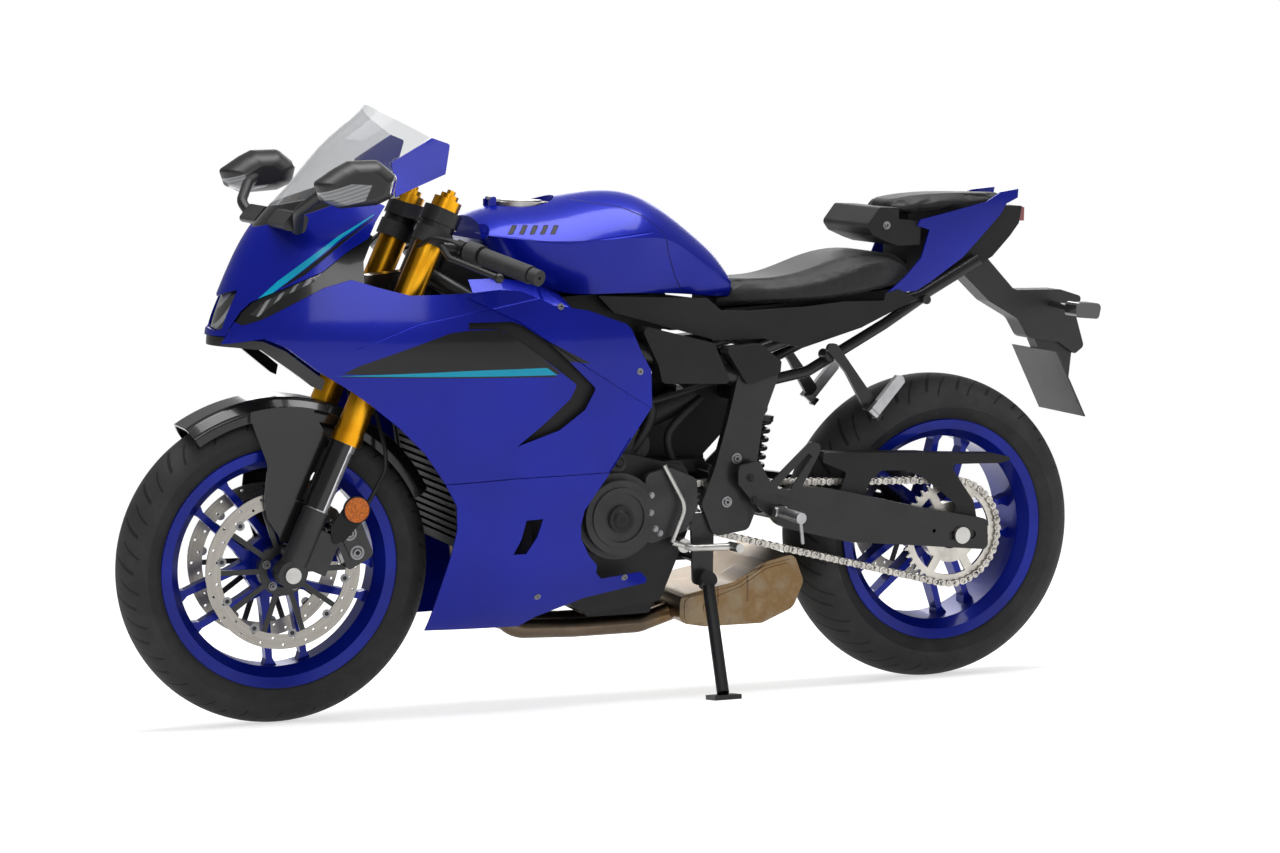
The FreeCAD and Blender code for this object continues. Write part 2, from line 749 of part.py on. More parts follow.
def front_fender():
    """Curved guard over the front tyre, with arms to the fork feet."""
    inner, outer, side = FRONT_R + 19, FRONT_R + 23, 67
    section = [(outer, side - 22, 20), (outer - 20, side, 10), (inner - 34, side), (inner - 34, side - 4),
               (inner - 22, side - 4, 10), (inner, side - 24, 18)]
    half = section + [(r, -y) if not rest else (r, -y, rest[0]) for r, y, *rest in reversed(section)]
    wire = corner_wire(half, lambda p: V(WHEELBASE + p.x, p.y, FRONT_R))
    shell = Part.Face(wire).revolve(V(WHEELBASE, 0, FRONT_R), Y_AXIS, -98)
    shell.rotate(V(WHEELBASE, 0, FRONT_R), Y_AXIS, -56)
    out = FORK_Y - GOLD_R - 0.3
    ear = prism_y([(1462, 586, 12), (1425, 596, 12), (1340, 596, 12), (1300, 520, 10), (1345, 480, 20),
                   (1362, 420, 10), (1398, 352, 8), (1430, 400, 10), (1436, 430, 30), (1429, 500, 40)],
                  out - 4, out)
    joint = ring_y(WHEELBASE, FRONT_R, inner - 12, inner - 33, side - 4, out)
    joint = joint.common(box(1340, 1462, 0, 200, 560, 700))
    leg = on_fork(Part.makeCylinder(LEG_R + SEAT_GAP, LEG_TOP + 20, V(0, FORK_Y, -10)))
    bosses = [disc_y(x, z, 9, out - 2, FORK_Y - 8).cut(leg) for x, z in ((1363, 372), (1349, 404))]
    bracket = prism_y([(1354, 362, 6), (1405, 352, 6), (1412, 396, 6), (1340, 414, 6)], out - 4, out)
    left = ear.fuse([joint, bracket, stanchion_guard()] + bosses)
    tube = Part.makeCylinder(COLLAR_R + SEAT_GAP, 60, V(0, FORK_Y, GOLD_BOTTOM - SEAT_GAP))
    seal = Part.makeCylinder(SEAL_R + SEAT_GAP, 60, V(0, FORK_Y, LEG_TOP + 2))
    left = left.cut(on_fork(tube)).cut(on_fork(seal))
    return shell.fuse([left, mirror(left)])


def stanchion_guard():
    """Half tube in front of the left chrome stanchion, with its web to the fender's arm."""
    low, high = LEG_TOP + 2, GOLD_BOTTOM - SEAT_GAP
    tube = Part.makeCylinder(GUARD_R, high - low, V(0, FORK_Y, low))
    bore = Part.makeCylinder(GUARD_INNER_R, high, V(0, FORK_Y, 0))
    half = tube.common(box(-4, 60, 0, 200, low, high)).cut(bore)
    web = box(8, 22, FORK_Y - GOLD_R - 2, FORK_Y - 12, low + 6, high - 20).cut(bore)
    return on_fork(half.fuse(web))


def side_reflectors():
    """Amber reflectors on brackets behind the fork feet."""
    y = FORK_Y + 14 + SEAT_GAP
    plate = prism_y([(1322, 384, 6), (1316, 352, 6), (1292, 360, 8), (1256, 400, 14), (1262, 432, 14),
                     (1288, 432, 12)], y, y + 3)
    lens = disc_y(1272, 417, 24, y + 3, y + 8)
    rim = ring_y(1272, 417, 25.5, 23, y + 2, y + 9)
    return both(fuse([plate, lens, rim]))


def brake_hoses():
    """Hose from the brake cylinder to a splitter below the lower clamp, and one to each caliper."""
    centre_z = LOWER_CLAMP_Z - 10
    splitter = on_fork(box(-8, 12, -15, 15, LOWER_CLAMP_Z - 20, LOWER_CLAMP_Z - SEAT_GAP))
    banjo = disc_y(1300, 378, 8, DISC_Y + 30 + SEAT_GAP, 105)
    left = bent_tube([fork_point(2, 8, centre_z), fork_point(-6, 40, centre_z - 14), fork_point(-48, 78, 330),
                      V(1209, 104, 522), V(1209, 104, 486), V(1240, 102, 428), V(1300, 100, 378)], HOSE_R, 40)
    branches = [left, banjo, mirror(left), mirror(banjo)]
    cylinder = mirror(Part.Vertex(bar_point(0.27) + V(36, 4, 16))).Point
    main = bent_tube([cylinder, cylinder + V(26, 16, -14), fork_point(36, -140, 622),
                      fork_point(44, -102, 588), fork_point(28, -74, 530), fork_point(28, -64, 440),
                      fork_point(20, -40, centre_z), fork_point(2, -8, centre_z)], HOSE_R, 30)
    return fuse([splitter, main] + branches).cut(levers())


def caliper(disc_r, disc_y_mid, turn, reach):
    """Caliper round a disc edge, on the +Y side, about the origin."""
    half = DISC_T / 2 + PAD_GAP
    body = [(disc_r - 42, -46, 8), (disc_r + 16, -40, 14), (disc_r + 16, 40, 14), (disc_r - 42, 46, 8)]
    block = prism_y(body, disc_y_mid - 18, disc_y_mid + 30)
    groove = ring_y(0, 0, disc_r + 3, 40, disc_y_mid - half, disc_y_mid + half)
    block = block.cut(groove)
    pistons = [disc_y(disc_r - 14, z, 15, disc_y_mid + 28, disc_y_mid + 34) for z in (-20, 20)]
    lug = box(disc_r - 30, disc_r - 6, disc_y_mid + 22, disc_y_mid + reach, -12, 12)
    shape = fuse([block, lug] + pistons)
    shape.rotate(ORIGIN, Y_AXIS, turn)
    return shape


def front_calipers():
    """Radial calipers behind the fork feet."""
    left = caliper(DISC_R, DISC_Y, -158, 34)
    left.translate(V(WHEELBASE, 0, FRONT_R))
    leg = on_fork(Part.makeCylinder(LEG_R + 0.3, 300, V(0, FORK_Y, -50)))
    lug = on_fork(box(-62.3, 0, FORK_Y - 14.3, FORK_Y + 14.3, 19.7, 96.3))
    return both(left.cut(leg).cut(lug))


def rear_caliper():
    """Single caliper on its bracket round the right spacer."""
    face = ARM_IN - SEAT_GAP
    left = caliper(REAR_DISC_R, REAR_DISC_Y, -70, face - REAR_DISC_Y)
    bar = prism_y([(-24, 0, 10), (24, 0, 10), (58, 104, 12), (14, 120, 12)], face - 9, face)
    ring = disc_y(0, 0, 30, face - 9, face)
    hole = disc_y(0, 0, SPACER_R + BEARING_GAP, 0, 200)
    shape = fuse([left, bar, ring]).cut(hole)
    shape.translate(V(0, 0, REAR_R))
    return mirror(shape)


# Frame and engine

@lru_cache(maxsize=None)
def frame():
    """Steel tube frame with cast pivot plates and the stand bracket."""
    head = on_fork(Part.makeCylinder(HEAD_TUBE_R, 250, V(-TRAIL_OFFSET, 0, LOWER_CLAMP_Z + CLAMP_T + 4)))
    bore = on_fork(Part.makeCylinder(STEER_BORE_R, 400, V(-TRAIL_OFFSET, 0, LOWER_CLAMP_Z)))
    upper = bent_tube([V(1110, 26, 848), V(1000, 112, 780), V(700, 118, 700), V(470, 116, 640)], 18, 60)
    lower = bent_tube([V(1165, 26, 732), V(1060, 134, 650), V(900, 142, 640), V(700, 122, 690)], 15, 60)
    hanger = bent_tube([V(1000, 116, 770), V(960, 136, 660), V(930, 133, 560)], 14, 40)
    out = PLATE_Y + PLATE_WIDE
    plate = prism_y([(496, 662, 10), (408, 656, 12), (444, 560, 30), (455, 470, 20), (448, 400, 20),
                     (470, 345, 16), (545, 334, 20), (572, 400, 20), (545, 470, 30), (520, 560, 30)], PLATE_Y, out)
    bracket = prism_y([(590, 380, 10), (540, 380, 10), (540, 238, 12), (582, 238, 12)], PLATE_Y, PLATE_Y + 8)
    pivot = V(STAND_X, STAND_Y, STAND_Z)
    lug = rod(pivot - STAND_AXIS * 22, pivot - STAND_AXIS * 9.3, 11)
    cross = disc_y(470, 606, 14, -PLATE_Y - 2, PLATE_Y + 2)
    shock_z = SHOCK_EYE_Z + SHOCK_EYE_R + SEAT_GAP
    shock_lug = prism_y([(474, 618), (388, 600), (388, shock_z), (412, shock_z), (474, 594)], 8, 40)
    bolts = [disc_y(x, z, ENGINE_BOLT_R, -PLATE_Y - 2, PLATE_Y + 2) for x, z in ENGINE_BOLTS]
    head_boss = disc_y(930, 562, 12, 118 + SEAT_GAP, 133)
    radiator_lug = box(1082, 1094, 98, 112, 602 + SEAT_GAP, 668)
    tank_rest = box(925, 955, 104, 120, 764, 880).cut(fuel_tank())
    sides = [upper, lower, hanger, plate, head_boss, radiator_lug, tank_rest]
    middle = [bracket, lug, cross, shock_lug] + bolts
    joined = head.fuse(sides + [mirror(side) for side in sides] + middle)
    return joined.cut(bore)


@lru_cache(maxsize=None)
def subframe():
    """Tubes that carry the seat and the tail."""
    upper = bent_tube([V(450, 96, 690), V(300, 88, 738), V(60, 64, 796), V(-70, 62, 866)], 13, 80)
    lower = bent_tube([V(440, 100, 630), V(330, 96, 650), V(150, 78, 740), V(60, 66, 790)], 11, 60)
    bars = [disc_y(x, z, 9, -90, 90) for x, z in ((300, 738), (60, 788))]
    tubes = upper.fuse([lower, mirror(upper), mirror(lower)] + bars)
    return tubes.cut(frame())


def engine():
    """Parallel twin: crankcase, sump, gearbox and the cylinders leaning forward."""
    case = prism_y([(590, 470, 20), (560, 400, 30), (600, 300, 30), (640, 205, 20), (800, 190, 30),
                    (905, 260, 40), (915, 400, 30), (880, 470, 20), (720, 500, 30)], -96, 96)
    gearbox = prism_y([(700, 480, 20), (590, 480, 20), (572, 420, 20), (600, 330, 20), (700, 300, 20)], -84, 84)
    pan = prism_y([(640, 210, 10), (650, 178, 8), (785, 178, 8), (800, 210, 10)], -70, 70)
    tilt = 40.0
    cylinders = box(-70, 70, -105, 105, 0, 130)
    fins = [box(-76, 76, -111, 111, 22 + 16 * i, 27 + 16 * i) for i in range(6)]
    head = box(-78, 78, -118, 118, 130, 210)
    cover = prism_y([(-72, 210, 10), (-60, 262, 24), (60, 262, 24), (72, 210, 10)], -116, 116)
    top = fuse([cylinders, head, cover] + fins)
    top.rotate(ORIGIN, Y_AXIS, tilt)
    top.translate(V(820, 0, 440))
    lugs = [box(x - 14, x + 60, -60, 60, z - 12, z + 12) for x, z in ENGINE_BOLTS]
    starter = disc_y(690, 512, 34, -70, 70)
    whole = fuse([case, gearbox, pan, top, starter] + lugs)
    cuts = [rod(V(960, side, 545), V(1004, side, 507), 19.5) for side in (-45, 45)]
    cuts += [disc_y(x, z, ENGINE_BOLT_R + BEARING_GAP, -130, 130) for x, z in ENGINE_BOLTS]
    return whole.cut(Part.makeCompound(cuts))


def engine_covers():
    """Round generator cover on the left, clutch cover on the right."""
    x, z = 749, 383
    left = disc_y(x, z, 84, CASE_HALF, 132)
    step = disc_y(x, z, 72, 132, 150)
    ring = ring_y(x, z, 58, 48, 150, 154)
    hub = disc_y(x, z, 24, 150, 156)
    cap = disc_y(743, 482, 19, CASE_HALF, 112)
    guard = prism_y([(690, 462, 16), (640, 474, 20), (580, 450, 20), (580, 392, 20), (602, 348, 16),
                     (690, 322, 16)], 118, 132)
    foot = box(676, 696, CASE_HALF, 122, 350, 440)
    generator = fuse([left, step, ring, hub, guard, foot, cap])
    x, z = 700, 370
    clutch = disc_y(x, z, 96, -140, -CASE_HALF)
    rim = disc_y(x, z, 78, -156, -140)
    pump = disc_y(840, 350, 40, -124, -CASE_HALF)
    return Part.makeCompound([generator, fuse([clutch, rim]), pump])


def radiator():
    """Core with grooves between its rows, in front of the engine."""
    outline = [(1112, 590, 10), (1078, 598, 10), (1036, 335, 10), (1068, 327, 10)]
    core = prism_y(outline, -150, 150)
    grooves = [box(1000, 1200, -140, 140, 350 + 14 * i, 356 + 14 * i) for i in range(16)]
    middle = prism_y([(1103, 588), (1087, 592), (1045, 339), (1059, 334)], -149, 149)
    lug = box(1082, 1094, 98, 112, 580, 602)
    tank = prism_y([(1116, 594, 10), (1074, 602, 10), (1031, 332, 10), (1072, 323, 10)], 149, 163)
    hose = bent_tube([V(1054, -122, 372), V(1000, -128, 372), V(930, -116, 360), V(884, -112, 352)], 13, 40)
    return core.cut(Part.makeCompound(grooves)).fuse([middle, lug, mirror(lug), tank, mirror(tank), hose])


def exhaust():
    """Two header pipes into the box under the engine."""
    headers = []
    for side in (1, -1):
        pipe = bent_tube([V(989, side * 45, 520), V(1014, side * 46, 492), V(1018, side * 47, 400),
                          V(1000, side * 48, 240), V(930, side * 46, 158), V(800, side * 40, 152),
                          V(660, side * 36, 152), V(580, side * 34, 176)], 19, 60)
        headers.append(pipe)
    can = prism_y([(600, 160, 20), (545, 150, 20), (420, 150, 24), (352, 178, 26), (330, 230, 20),
                   (352, 286, 16), (420, 272, 20), (484, 236, 30), (600, 215, 20)], -104, 104)
    outlet = rod(V(400, -98, 215), V(366, -128, 226), 24)
    bore = rod(V(390, -106, 218), V(360, -134, 228), 20)
    shield = prism_y([(436, 166, 16), (374, 188, 18), (348, 228, 14), (362, 270, 12), (414, 260, 16),
                      (470, 226, 24), (540, 204, 16), (566, 176, 14)], 103, 107)
    seam = prism_y([(590, 164, 14), (545, 156, 18), (430, 156, 20), (360, 183, 22), (338, 229, 16), (357, 277, 12),
                    (418, 265, 18), (481, 229, 26), (590, 208, 14)], 103, 105.5)
    return can.fuse(headers + [outlet, seam, mirror(seam), shield]).cut(bore)


def intake():
    """Airbox below the tank and the two throttle bodies that reach the cylinder head."""
    airbox = prism_y([(930, 800, 20), (800, 808, 10), (650, 806, 14), (640, 706, 20), (760, 690, 20), (880, 702, 20),
                      (950, 742, 20)], -88, 88)
    bodies = []
    for side in (-1, 1):
        start = V(869.6 - SEAT_GAP, side * 45, 620.4 + SEAT_GAP)
        bodies.append(rod(start, start + V(-0.766, 0, 0.643) * 124, 24))
        bodies.append(rod(start + V(-0.766, 0, 0.643) * 30, start + V(-0.766, 0, 0.643) * 42, 30))
    return fuse([airbox] + bodies).cut(fuel_tank()).cut(frame())


def under_seat_tray():
    """Battery box and inner fender between the subframe tubes."""
    tray_side = prism_y([(500, 774), (370, 784), (290, 792), (210, 802), (100, 812), (100, 800), (200, 776),
                         (330, 716, 20), (460, 700, 16), (500, 720)], -70, 70)
    return tray_side.cut(Part.makeCompound([subframe(), rider_seat(), fuel_tank(), frame()]))


def shock_absorber():
    """Linkless damper with its coil spring."""
    top = V(400, 24, 560)
    low = V(420, 24, 432)
    along = (low - top).normalize()
    body = rod(top, low, 17)
    seat_top = rod(top, top + along * 12, 32)
    seat_low = rod(low - along * 12, low, 32)
    eye = disc_y(400, SHOCK_EYE_Z, SHOCK_EYE_R, 10, 38)
    low_eye = disc_y(SHOCK_LOW_X, SHOCK_LOW_Z, SHOCK_LOW_R, 12, 36)
    damper = fuse([body, seat_top, seat_low, eye, low_eye])
    length = (low - top).Length - 24
    helix = Part.makeHelix(length / SPRING_TURNS, length, SPRING_R)
    wire = Part.Wire(Part.Circle(V(SPRING_R, 0, 0), Y_AXIS, SPRING_WIRE_R).toShape())
    coil = Part.Wire(helix.Edges).makePipeShell([wire], True, True)
    turn = FreeCAD.Rotation(Z_AXIS, along)
    coil.Placement = FreeCAD.Placement(top + along * 12, turn)
    trimmed = coil.cut(fuse([seat_top, seat_low]))
    return Part.makeCompound([damper, trimmed])


# Body panels

def hull_wire(level, inset):
    """Horizontal section of the front body at one height."""
    z, nose_x, half, wide_x = level
    reach = nose_x - inset - wide_x
    width = half - inset
    left = []
    for angle in HULL_ANGLES:
        turn = math.radians(angle)
        left.append(V(wide_x + reach * math.cos(turn) ** HULL_POWER, width * math.sin(turn), z))
    back_x = HULL_REAR_X - inset
    left.append(V((wide_x + back_x) / 2, width * 0.975, z))
    left.append(V(back_x, width * HULL_TAPER, z))
    right = [V(p.x, -p.y, p.z) for p in reversed(left)]
    curve = Part.BSplineCurve()
    curve.interpolate(right + [V(nose_x - inset, 0, z)] + left)
    close = Part.LineSegment(left[-1], right[0]).toShape()
    return Part.Wire([curve.toShape(), close])


@lru_cache(maxsize=None)
def hull(inset):
    """Solid inside the front body's surface, moved inward by the inset."""
    return loft([hull_wire(level, inset) for level in HULL_LEVELS])


@lru_cache(maxsize=None)
def shell(outer, inner):
    """Skin of the front body between two insets."""
    return hull(outer).cut(hull(inner))


def side_panel(outline, outer=0.0, thick=SKIN):
    """Left panel cut from the front body's skin by its side view."""
    return shell(outer, outer + thick).common(prism_y(outline, 0.5, 300))


def full_panel(outline, outer=0.0, thick=SKIN):
    """Panel that runs round the nose."""
    return shell(outer, outer + thick).common(prism_y(outline, -300, 300))


def without_crumbs(shape, least):
    """The solids that hold at least so many cubic millimetres."""
    return Part.makeCompound([solid for solid in shape.Solids if solid.Volume > least])


FRONT_PANEL = [
    (1510, 724), (1500, 748), (1490, 766), (1478, 760), (1447, 772), (1383, 808), (1340, 832), (1292, 847),
    (1246, 833), (1190, 819), (1098, 822), (1022, 829), (985, 827), (955, 816), (918, 799), (846, 788), (770, 762),
    (760, 752), (740, 707), (720, 674), (714, 601), (793, 478), (987, 475), (1121, 467), (1164, 527),
    (1212, 575), (1264, 618), (1298, 643), (1361, 683), (1411, 723), (1446, 738),
]
WING = [
    (1085, 815), (1022, 829), (985, 827), (955, 816), (918, 799), (846, 788), (770, 762), (760, 752), (740, 707),
    (720, 674), (715, 601), (760, 627), (846, 679), (938, 738), (987, 770),
]
RECESS = [(989, 536), (902, 535), (846, 531), (800, 534, 10), (752, 545), (793, 478), (987, 475), (1121, 467)]
WINDOW = [
    (1087, 770), (1003, 771), (983, 764, 10), (934, 734, 10), (884, 690, 20), (832, 642, 8), (853, 602, 8),
    (904, 565, 10), (989, 537), (935, 580, 20), (885, 624, 6), (872, 650, 8), (949, 706, 20), (1012, 749, 10),
    (1030, 757), (1088, 758),
]
LOWER_PANEL = [
    (1121, 467 - PANEL_GAP), (987, 475 - PANEL_GAP), (793, 478 - PANEL_GAP), (841, 408), (847, 379, 20),
    (844, 351, 20), (822, 315, 10), (802, 295, 10), (801, 279), (788, 266), (706, 275), (681, 253), (817, 227),
    (912, 192), (939, 174), (1125, 174), (1114, 248), (1101, 325, 60), (1094, 378, 60), (1098, 426, 20),
]
SLOT = [(961, 393), (927, 395), (936, 360), (955, 327), (981, 327), (968, 357)]
NOSE_PANEL = [
    (1442, 936), (1500, 918), (1560, 860), (1560, 736), (1505, 739), (1501, 748.6), (1491, 767),
    (1480, 785), (1463, 803), (1446, 812), (1341, 861), (1298, 896), (1256, 923), (1241, 952), (1222, 981),
    (1262, 1000), (1376, 956),
]
# Central lamp from the front, as (y, z)
CENTRE_LAMP = [
    (0, 809), (52, 824, 3), (50, 776), (49, 752, 3), (30, 748), (0, 752), (-30, 748), (-49, 752, 3), (-50, 776),
    (-52, 824, 3),
]
LAMP = [
    (1464, 780), (1447, 801), (1408, 823), (1381, 840), (1341, 859), (1357, 842), (1409, 815), (1431, 796),
    (1452, 777),
]
MASK = [
    (1560, 740), (1560, 834), (1464, 816), (1449, 821), (1345, 871), (1302, 903), (1254, 931), (1247, 925),
    (1268, 880), (1270, 838), (1290, 838), (1336, 823), (1380, 799), (1444, 763), (1476, 752), (1492, 756),
]
CHIN = [
    (1560, 738), (1498, 736), (1446, 732), (1411, 716), (1361, 676), (1345, 664), (1350, 645), (1363, 651),
    (1404, 682), (1451, 717), (1490, 719), (1560, 720),
]
SCREEN = [
    (1446, 926), (1402, 986), (1373, 1013), (1331, 1065), (1280, 1114), (1226, 1170), (1206, 1150),
    (1132, 1107), (1194, 1060), (1194, 996), (1255, 989), (1372, 946),
]
EAR = [(1129, 1106), (1098, 1095, 5), (1110, 1040), (1152, 1021), (1202, 998), (1204, 1060)]


def side_fairings():
    """Upper side panels with the long window behind their arrow edge."""
    panel = side_panel(FRONT_PANEL).cut(side_panel(RECESS, -1, 1 + RECESS_DEPTH))
    raised = side_panel(WING, -WING_RISE, WING_RISE + SKIN)
    sunk = side_panel(RECESS, RECESS_DEPTH, SKIN)
    panel = panel.fuse([raised, sunk]).cut(prism_y(WINDOW, 100, 300))
    return both(panel)


def lower_fairings():
    """Belly panels with their small vents."""
    panel = side_panel(LOWER_PANEL)
    panel = panel.cut(prism_y(SLOT, 60, 300))
    return both(panel)


def fairing_inners():
    """Dark trays behind the windows, with a rim that reaches the panel's back."""
    outer = grown_y(WINDOW, 11, 100, 300)
    inner = grown_y(WINDOW, 4, 100, 300)
    rim = shell(SKIN + SEAT_GAP, SKIN + SEAT_GAP + 13).common(outer)
    floor = shell(SKIN, SKIN + 10).common(inner)
    sunk = side_panel(RECESS, 0, RECESS_DEPTH + SKIN + SEAT_GAP)
    return both(rim.cut(floor).cut(sunk))


def nose_cowl():
    """Upper cowl over the lamps, up to the screen."""
    cowl = full_panel(NOSE_PANEL).cut(prism_x(CENTRE_LAMP, 1400, 1600))
    ear = side_panel(EAR)
    return Part.makeCompound([cowl, ear, mirror(ear)])


def nose_trim():
    """Black lamp surround and chin blade."""
    surround = full_panel(MASK, SKIN + SEAT_GAP, SKIN)
    holes = prism_y(LAMP, -300, 300).fuse(prism_x(CENTRE_LAMP, 1400, 1600))
    blade = full_panel(CHIN, SKIN, 16)
    return Part.makeCompound([without_crumbs(surround.cut(holes), SMALLEST_PIECE), blade])


def headlamps():
    """Slanted lamps, and the round lens between them on the lamp case."""
    lamp = side_panel(LAMP, LAMP_INSET, LAMP_T)
    depth = 2 * LAMP_INSET
    centre = shell(depth, depth + LAMP_T).common(prism_x(CENTRE_LAMP, 1400, 1600))
    stem = rod(V(1420, 0, 788), V(1496, 0, 784), 20)
    case = box(LAMP_CASE_X, 1440, -120, 120, 764, 826).common(hull(LAMP_INSET + LAMP_T + SEAT_GAP))
    return Part.makeCompound([lamp, mirror(lamp), fuse([centre, stem, case])])


def windscreen():
    """Clear screen that continues the cowl."""
    return full_panel(SCREEN, SKIN + SEAT_GAP, SCREEN_T)


def instrument_panel():
    """Dash on the stay that reaches from the head tube to the lamps."""
    dash = prism_y([(1302, 940, 8), (1262, 1030, 10), (1240, 1022, 6), (1276, 930, 8)], -72, 72)
    beam = prism_y([(LAMP_CASE_X - SEAT_GAP, 812), (LAMP_CASE_X - SEAT_GAP, 780), (1300, 790, 30), (1120, 826),
                    (1120, 856), (1240, 842, 30), (1262, 936), (1300, 936), (1290, 830, 20)], -20, 20)
    tube = on_fork(Part.makeCylinder(HEAD_TUBE_R + SEAT_GAP, 400, V(-TRAIL_OFFSET, 0, LOWER_CLAMP_Z)))
    return fuse([dash, beam]).cut(tube)


def mirrors():
    """Mirror heads on stalks from the cowl."""
    def section(y, grow, low):
        points = [(1413, 1030, 8), (1374, 1056, 14), (1351, 1068, 14), (1300, 1070, 20), (1264, 1042, 10),
                  (1272, 1006, 16), (1302, 992, 16), (1368, 986, 14), (1402, 1000, 8)]
        cx, cz = 1335, 1028
        shrunk = [(cx + (x - cx) * grow, cz + (z - cz) * grow - low, r * grow) for x, z, r in points]
        return corner_wire(shrunk, lambda p: V(p.x, y, p.y))
    head = loft([section(262, 0.45, 6), section(285, 0.9, 0), (section(325, 1.0, 0)), section(352, 0.6, 2)])
    stalk = bent_tube([V(1392, 138, 938), V(1405, 190, 975), V(1378, 240, 1008), V(1350, 275, 1020)], 10, 40)
    foot = prism_y([(1428, 940, 8), (1400, 974, 8), (1372, 962, 8), (1380, 932, 8)], 40, 146)
    return both(fuse([head, stalk, foot]).cut(hull(-SEAT_GAP)))


def tank_section(x, bottom, low_half, crease_z, crease_half, top, top_half):
    """Cross-section of the tank with a crease along each side."""
    low_left = V(x, low_half, bottom)
    low_right = V(x, -low_half, bottom)
    left = V(x, crease_half, crease_z)
    right = V(x, -crease_half, crease_z)
    bulge = V(x, crease_half * 0.4 + low_half * 0.6 + 5, (bottom + crease_z) / 2)
    side = Part.BSplineCurve()
    side.interpolate([low_left, bulge, left])
    other = Part.BSplineCurve()
    other.interpolate([right, V(x, -bulge.y, bulge.z), low_right])
    crown = Part.BSplineCurve()
    shoulder = top - (top - crease_z) * 0.22
    crown.interpolate([left, V(x, top_half, shoulder), V(x, 0, top), V(x, -top_half, shoulder), right])
    floor = Part.LineSegment(low_right, low_left)
    return Part.Wire([side.toShape(), crown.toShape(), other.toShape(), floor.toShape()])


# x, bottom z, bottom half width, crease z, crease half width, top z, half width of the top
TANK_SECTIONS = (
    (1020, 915, 90, 925, 118, 957, 60),
    (980, 876, 110, 921, 146, 974, 74),
    (900, 826, 122, 916, 163, 987, 80),
    (800, 812, 120, 918, 162, 1002, 80),
    (700, 812, 112, 920, 146, 1005, 76),
    (640, 810, 100, 912, 122, 984, 66),
    (580, 806, 88, 880, 102, 944, 56),
    (530, 802, 78, 850, 88, 905, 46),
    (490, 800, 64, 830, 72, 855, 36),
)
CAP_X = 905.0
CAP_R = 62.0
CAP_SEAT = 974.0
NECK_R = 22.0
NECK_DEPTH = 50.0
# Louvres in the tank's sides, as (x, y of the bottom of the slot)
LOUVRES = ((968, 138), (948, 143), (928, 148), (908, 150), (888, 151))


@lru_cache(maxsize=None)
def fuel_tank():
    """Solid tank with the filler neck bored into its top, and the lid's hinge ears."""
    body = loft([tank_section(*values) for values in TANK_SECTIONS])
    seat = Part.makeCylinder(CAP_R + 1, 80, V(CAP_X, 0, CAP_SEAT))
    neck = Part.makeCylinder(NECK_R, NECK_DEPTH + 40, V(CAP_X, 0, CAP_SEAT - NECK_DEPTH))
    room = box(CAP_X + 40, CAP_X + CAP_R + 7, -21, 21, CAP_SEAT, CAP_SEAT + 60)
    hinge_x, hinge_z = CAP_X + CAP_R, CAP_SEAT + 14
    ear = disc_y(hinge_x, hinge_z, 5, 11.3, 18)
    foot = box(hinge_x - 5, hinge_x + 9, 11.3, 18, CAP_SEAT - 6, hinge_z)
    ears = [ear, foot, mirror(ear), mirror(foot)]
    body = body.cut(seat.fuse([neck, room])).fuse(ears)
    slots = [prism_y([(x, 944), (x - 9, 944), (x + 6, 928), (x + 15, 928)], y, 220) for x, y in LOUVRES]
    relief = Part.makeCylinder(CLAMP_R + LOCK_CLEARANCE, 130, V(0, FORK_Y, 690))
    relief.rotate(V(-TRAIL_OFFSET, 0, 0), Z_AXIS, STEER_LOCK)
    sides = slots + [on_fork(relief)]
    return body.cut(Part.makeCompound(sides)).cut(Part.makeCompound([mirror(side) for side in sides]))


def fuel_cap():
    """Lid that swings up about its front edge."""
    lid = Part.makeCylinder(CAP_R - 6, 9, V(CAP_X, 0, CAP_SEAT + 0.3))
    raised = Part.makeCylinder(CAP_R - 22, 3, V(CAP_X, 0, CAP_SEAT + 9.3))
    tongue = box(CAP_X + CAP_R - 16, CAP_X + CAP_R, -11, 11, CAP_SEAT + 6, CAP_SEAT + 14)
    knuckle = disc_y(CAP_X + CAP_R, CAP_SEAT + 14, 5, -11, 11)
    return fuse([lid, raised, tongue, knuckle])


def seat_section(x, bottom, top, half, edge):
    """Cross-section of the seat foam."""
    rise = top - bottom - edge
    low, side, crown = edge * 0.25, min(14.0, edge * 0.5), min(24.0, rise * 1.2)
    points = [(-half, bottom, low), (half, bottom, low), (half, bottom + edge, side), (half * 0.6, top, crown),
              (-half * 0.6, top, crown), (-half, bottom + edge, side)]
    return corner_wire(points, lambda p: V(x, p.x, p.y))


# x, bottom z, top z, half width, side height
SEAT_SECTIONS = (
    (522, 778, 824, 62, 30),
    (450, 782, 832, 84, 32),
    (370, 788, 838, 112, 32),
    (290, 796, 862, 130, 40),
    (210, 806, 882, 128, 50),
    (140, 818, 880, 112, 44),
    (92, 828, 868, 90, 26),
)


@lru_cache(maxsize=None)
def rider_seat():
    foam = loft([seat_section(*values) for values in SEAT_SECTIONS])
    return foam.cut(fuel_tank())


@lru_cache(maxsize=None)
def pillion_seat():
    """Small pad on the tail."""
    sections = ((132, 962, 984, 58, 14), (60, 966, 996, 76, 16), (-50, 974, 1000, 68, 14),
                (-140, 982, 1000, 46, 10))
    return loft([seat_section(*values) for values in sections])


# Height, front x, front half width, rear x and rear half width of the tail
TAIL_LEVELS = ((790, 190, 122, -60, 60), (860, 190, 122, -120, 60), (940, 180, 116, -175, 52),
               (1015, 170, 108, -190, 44))


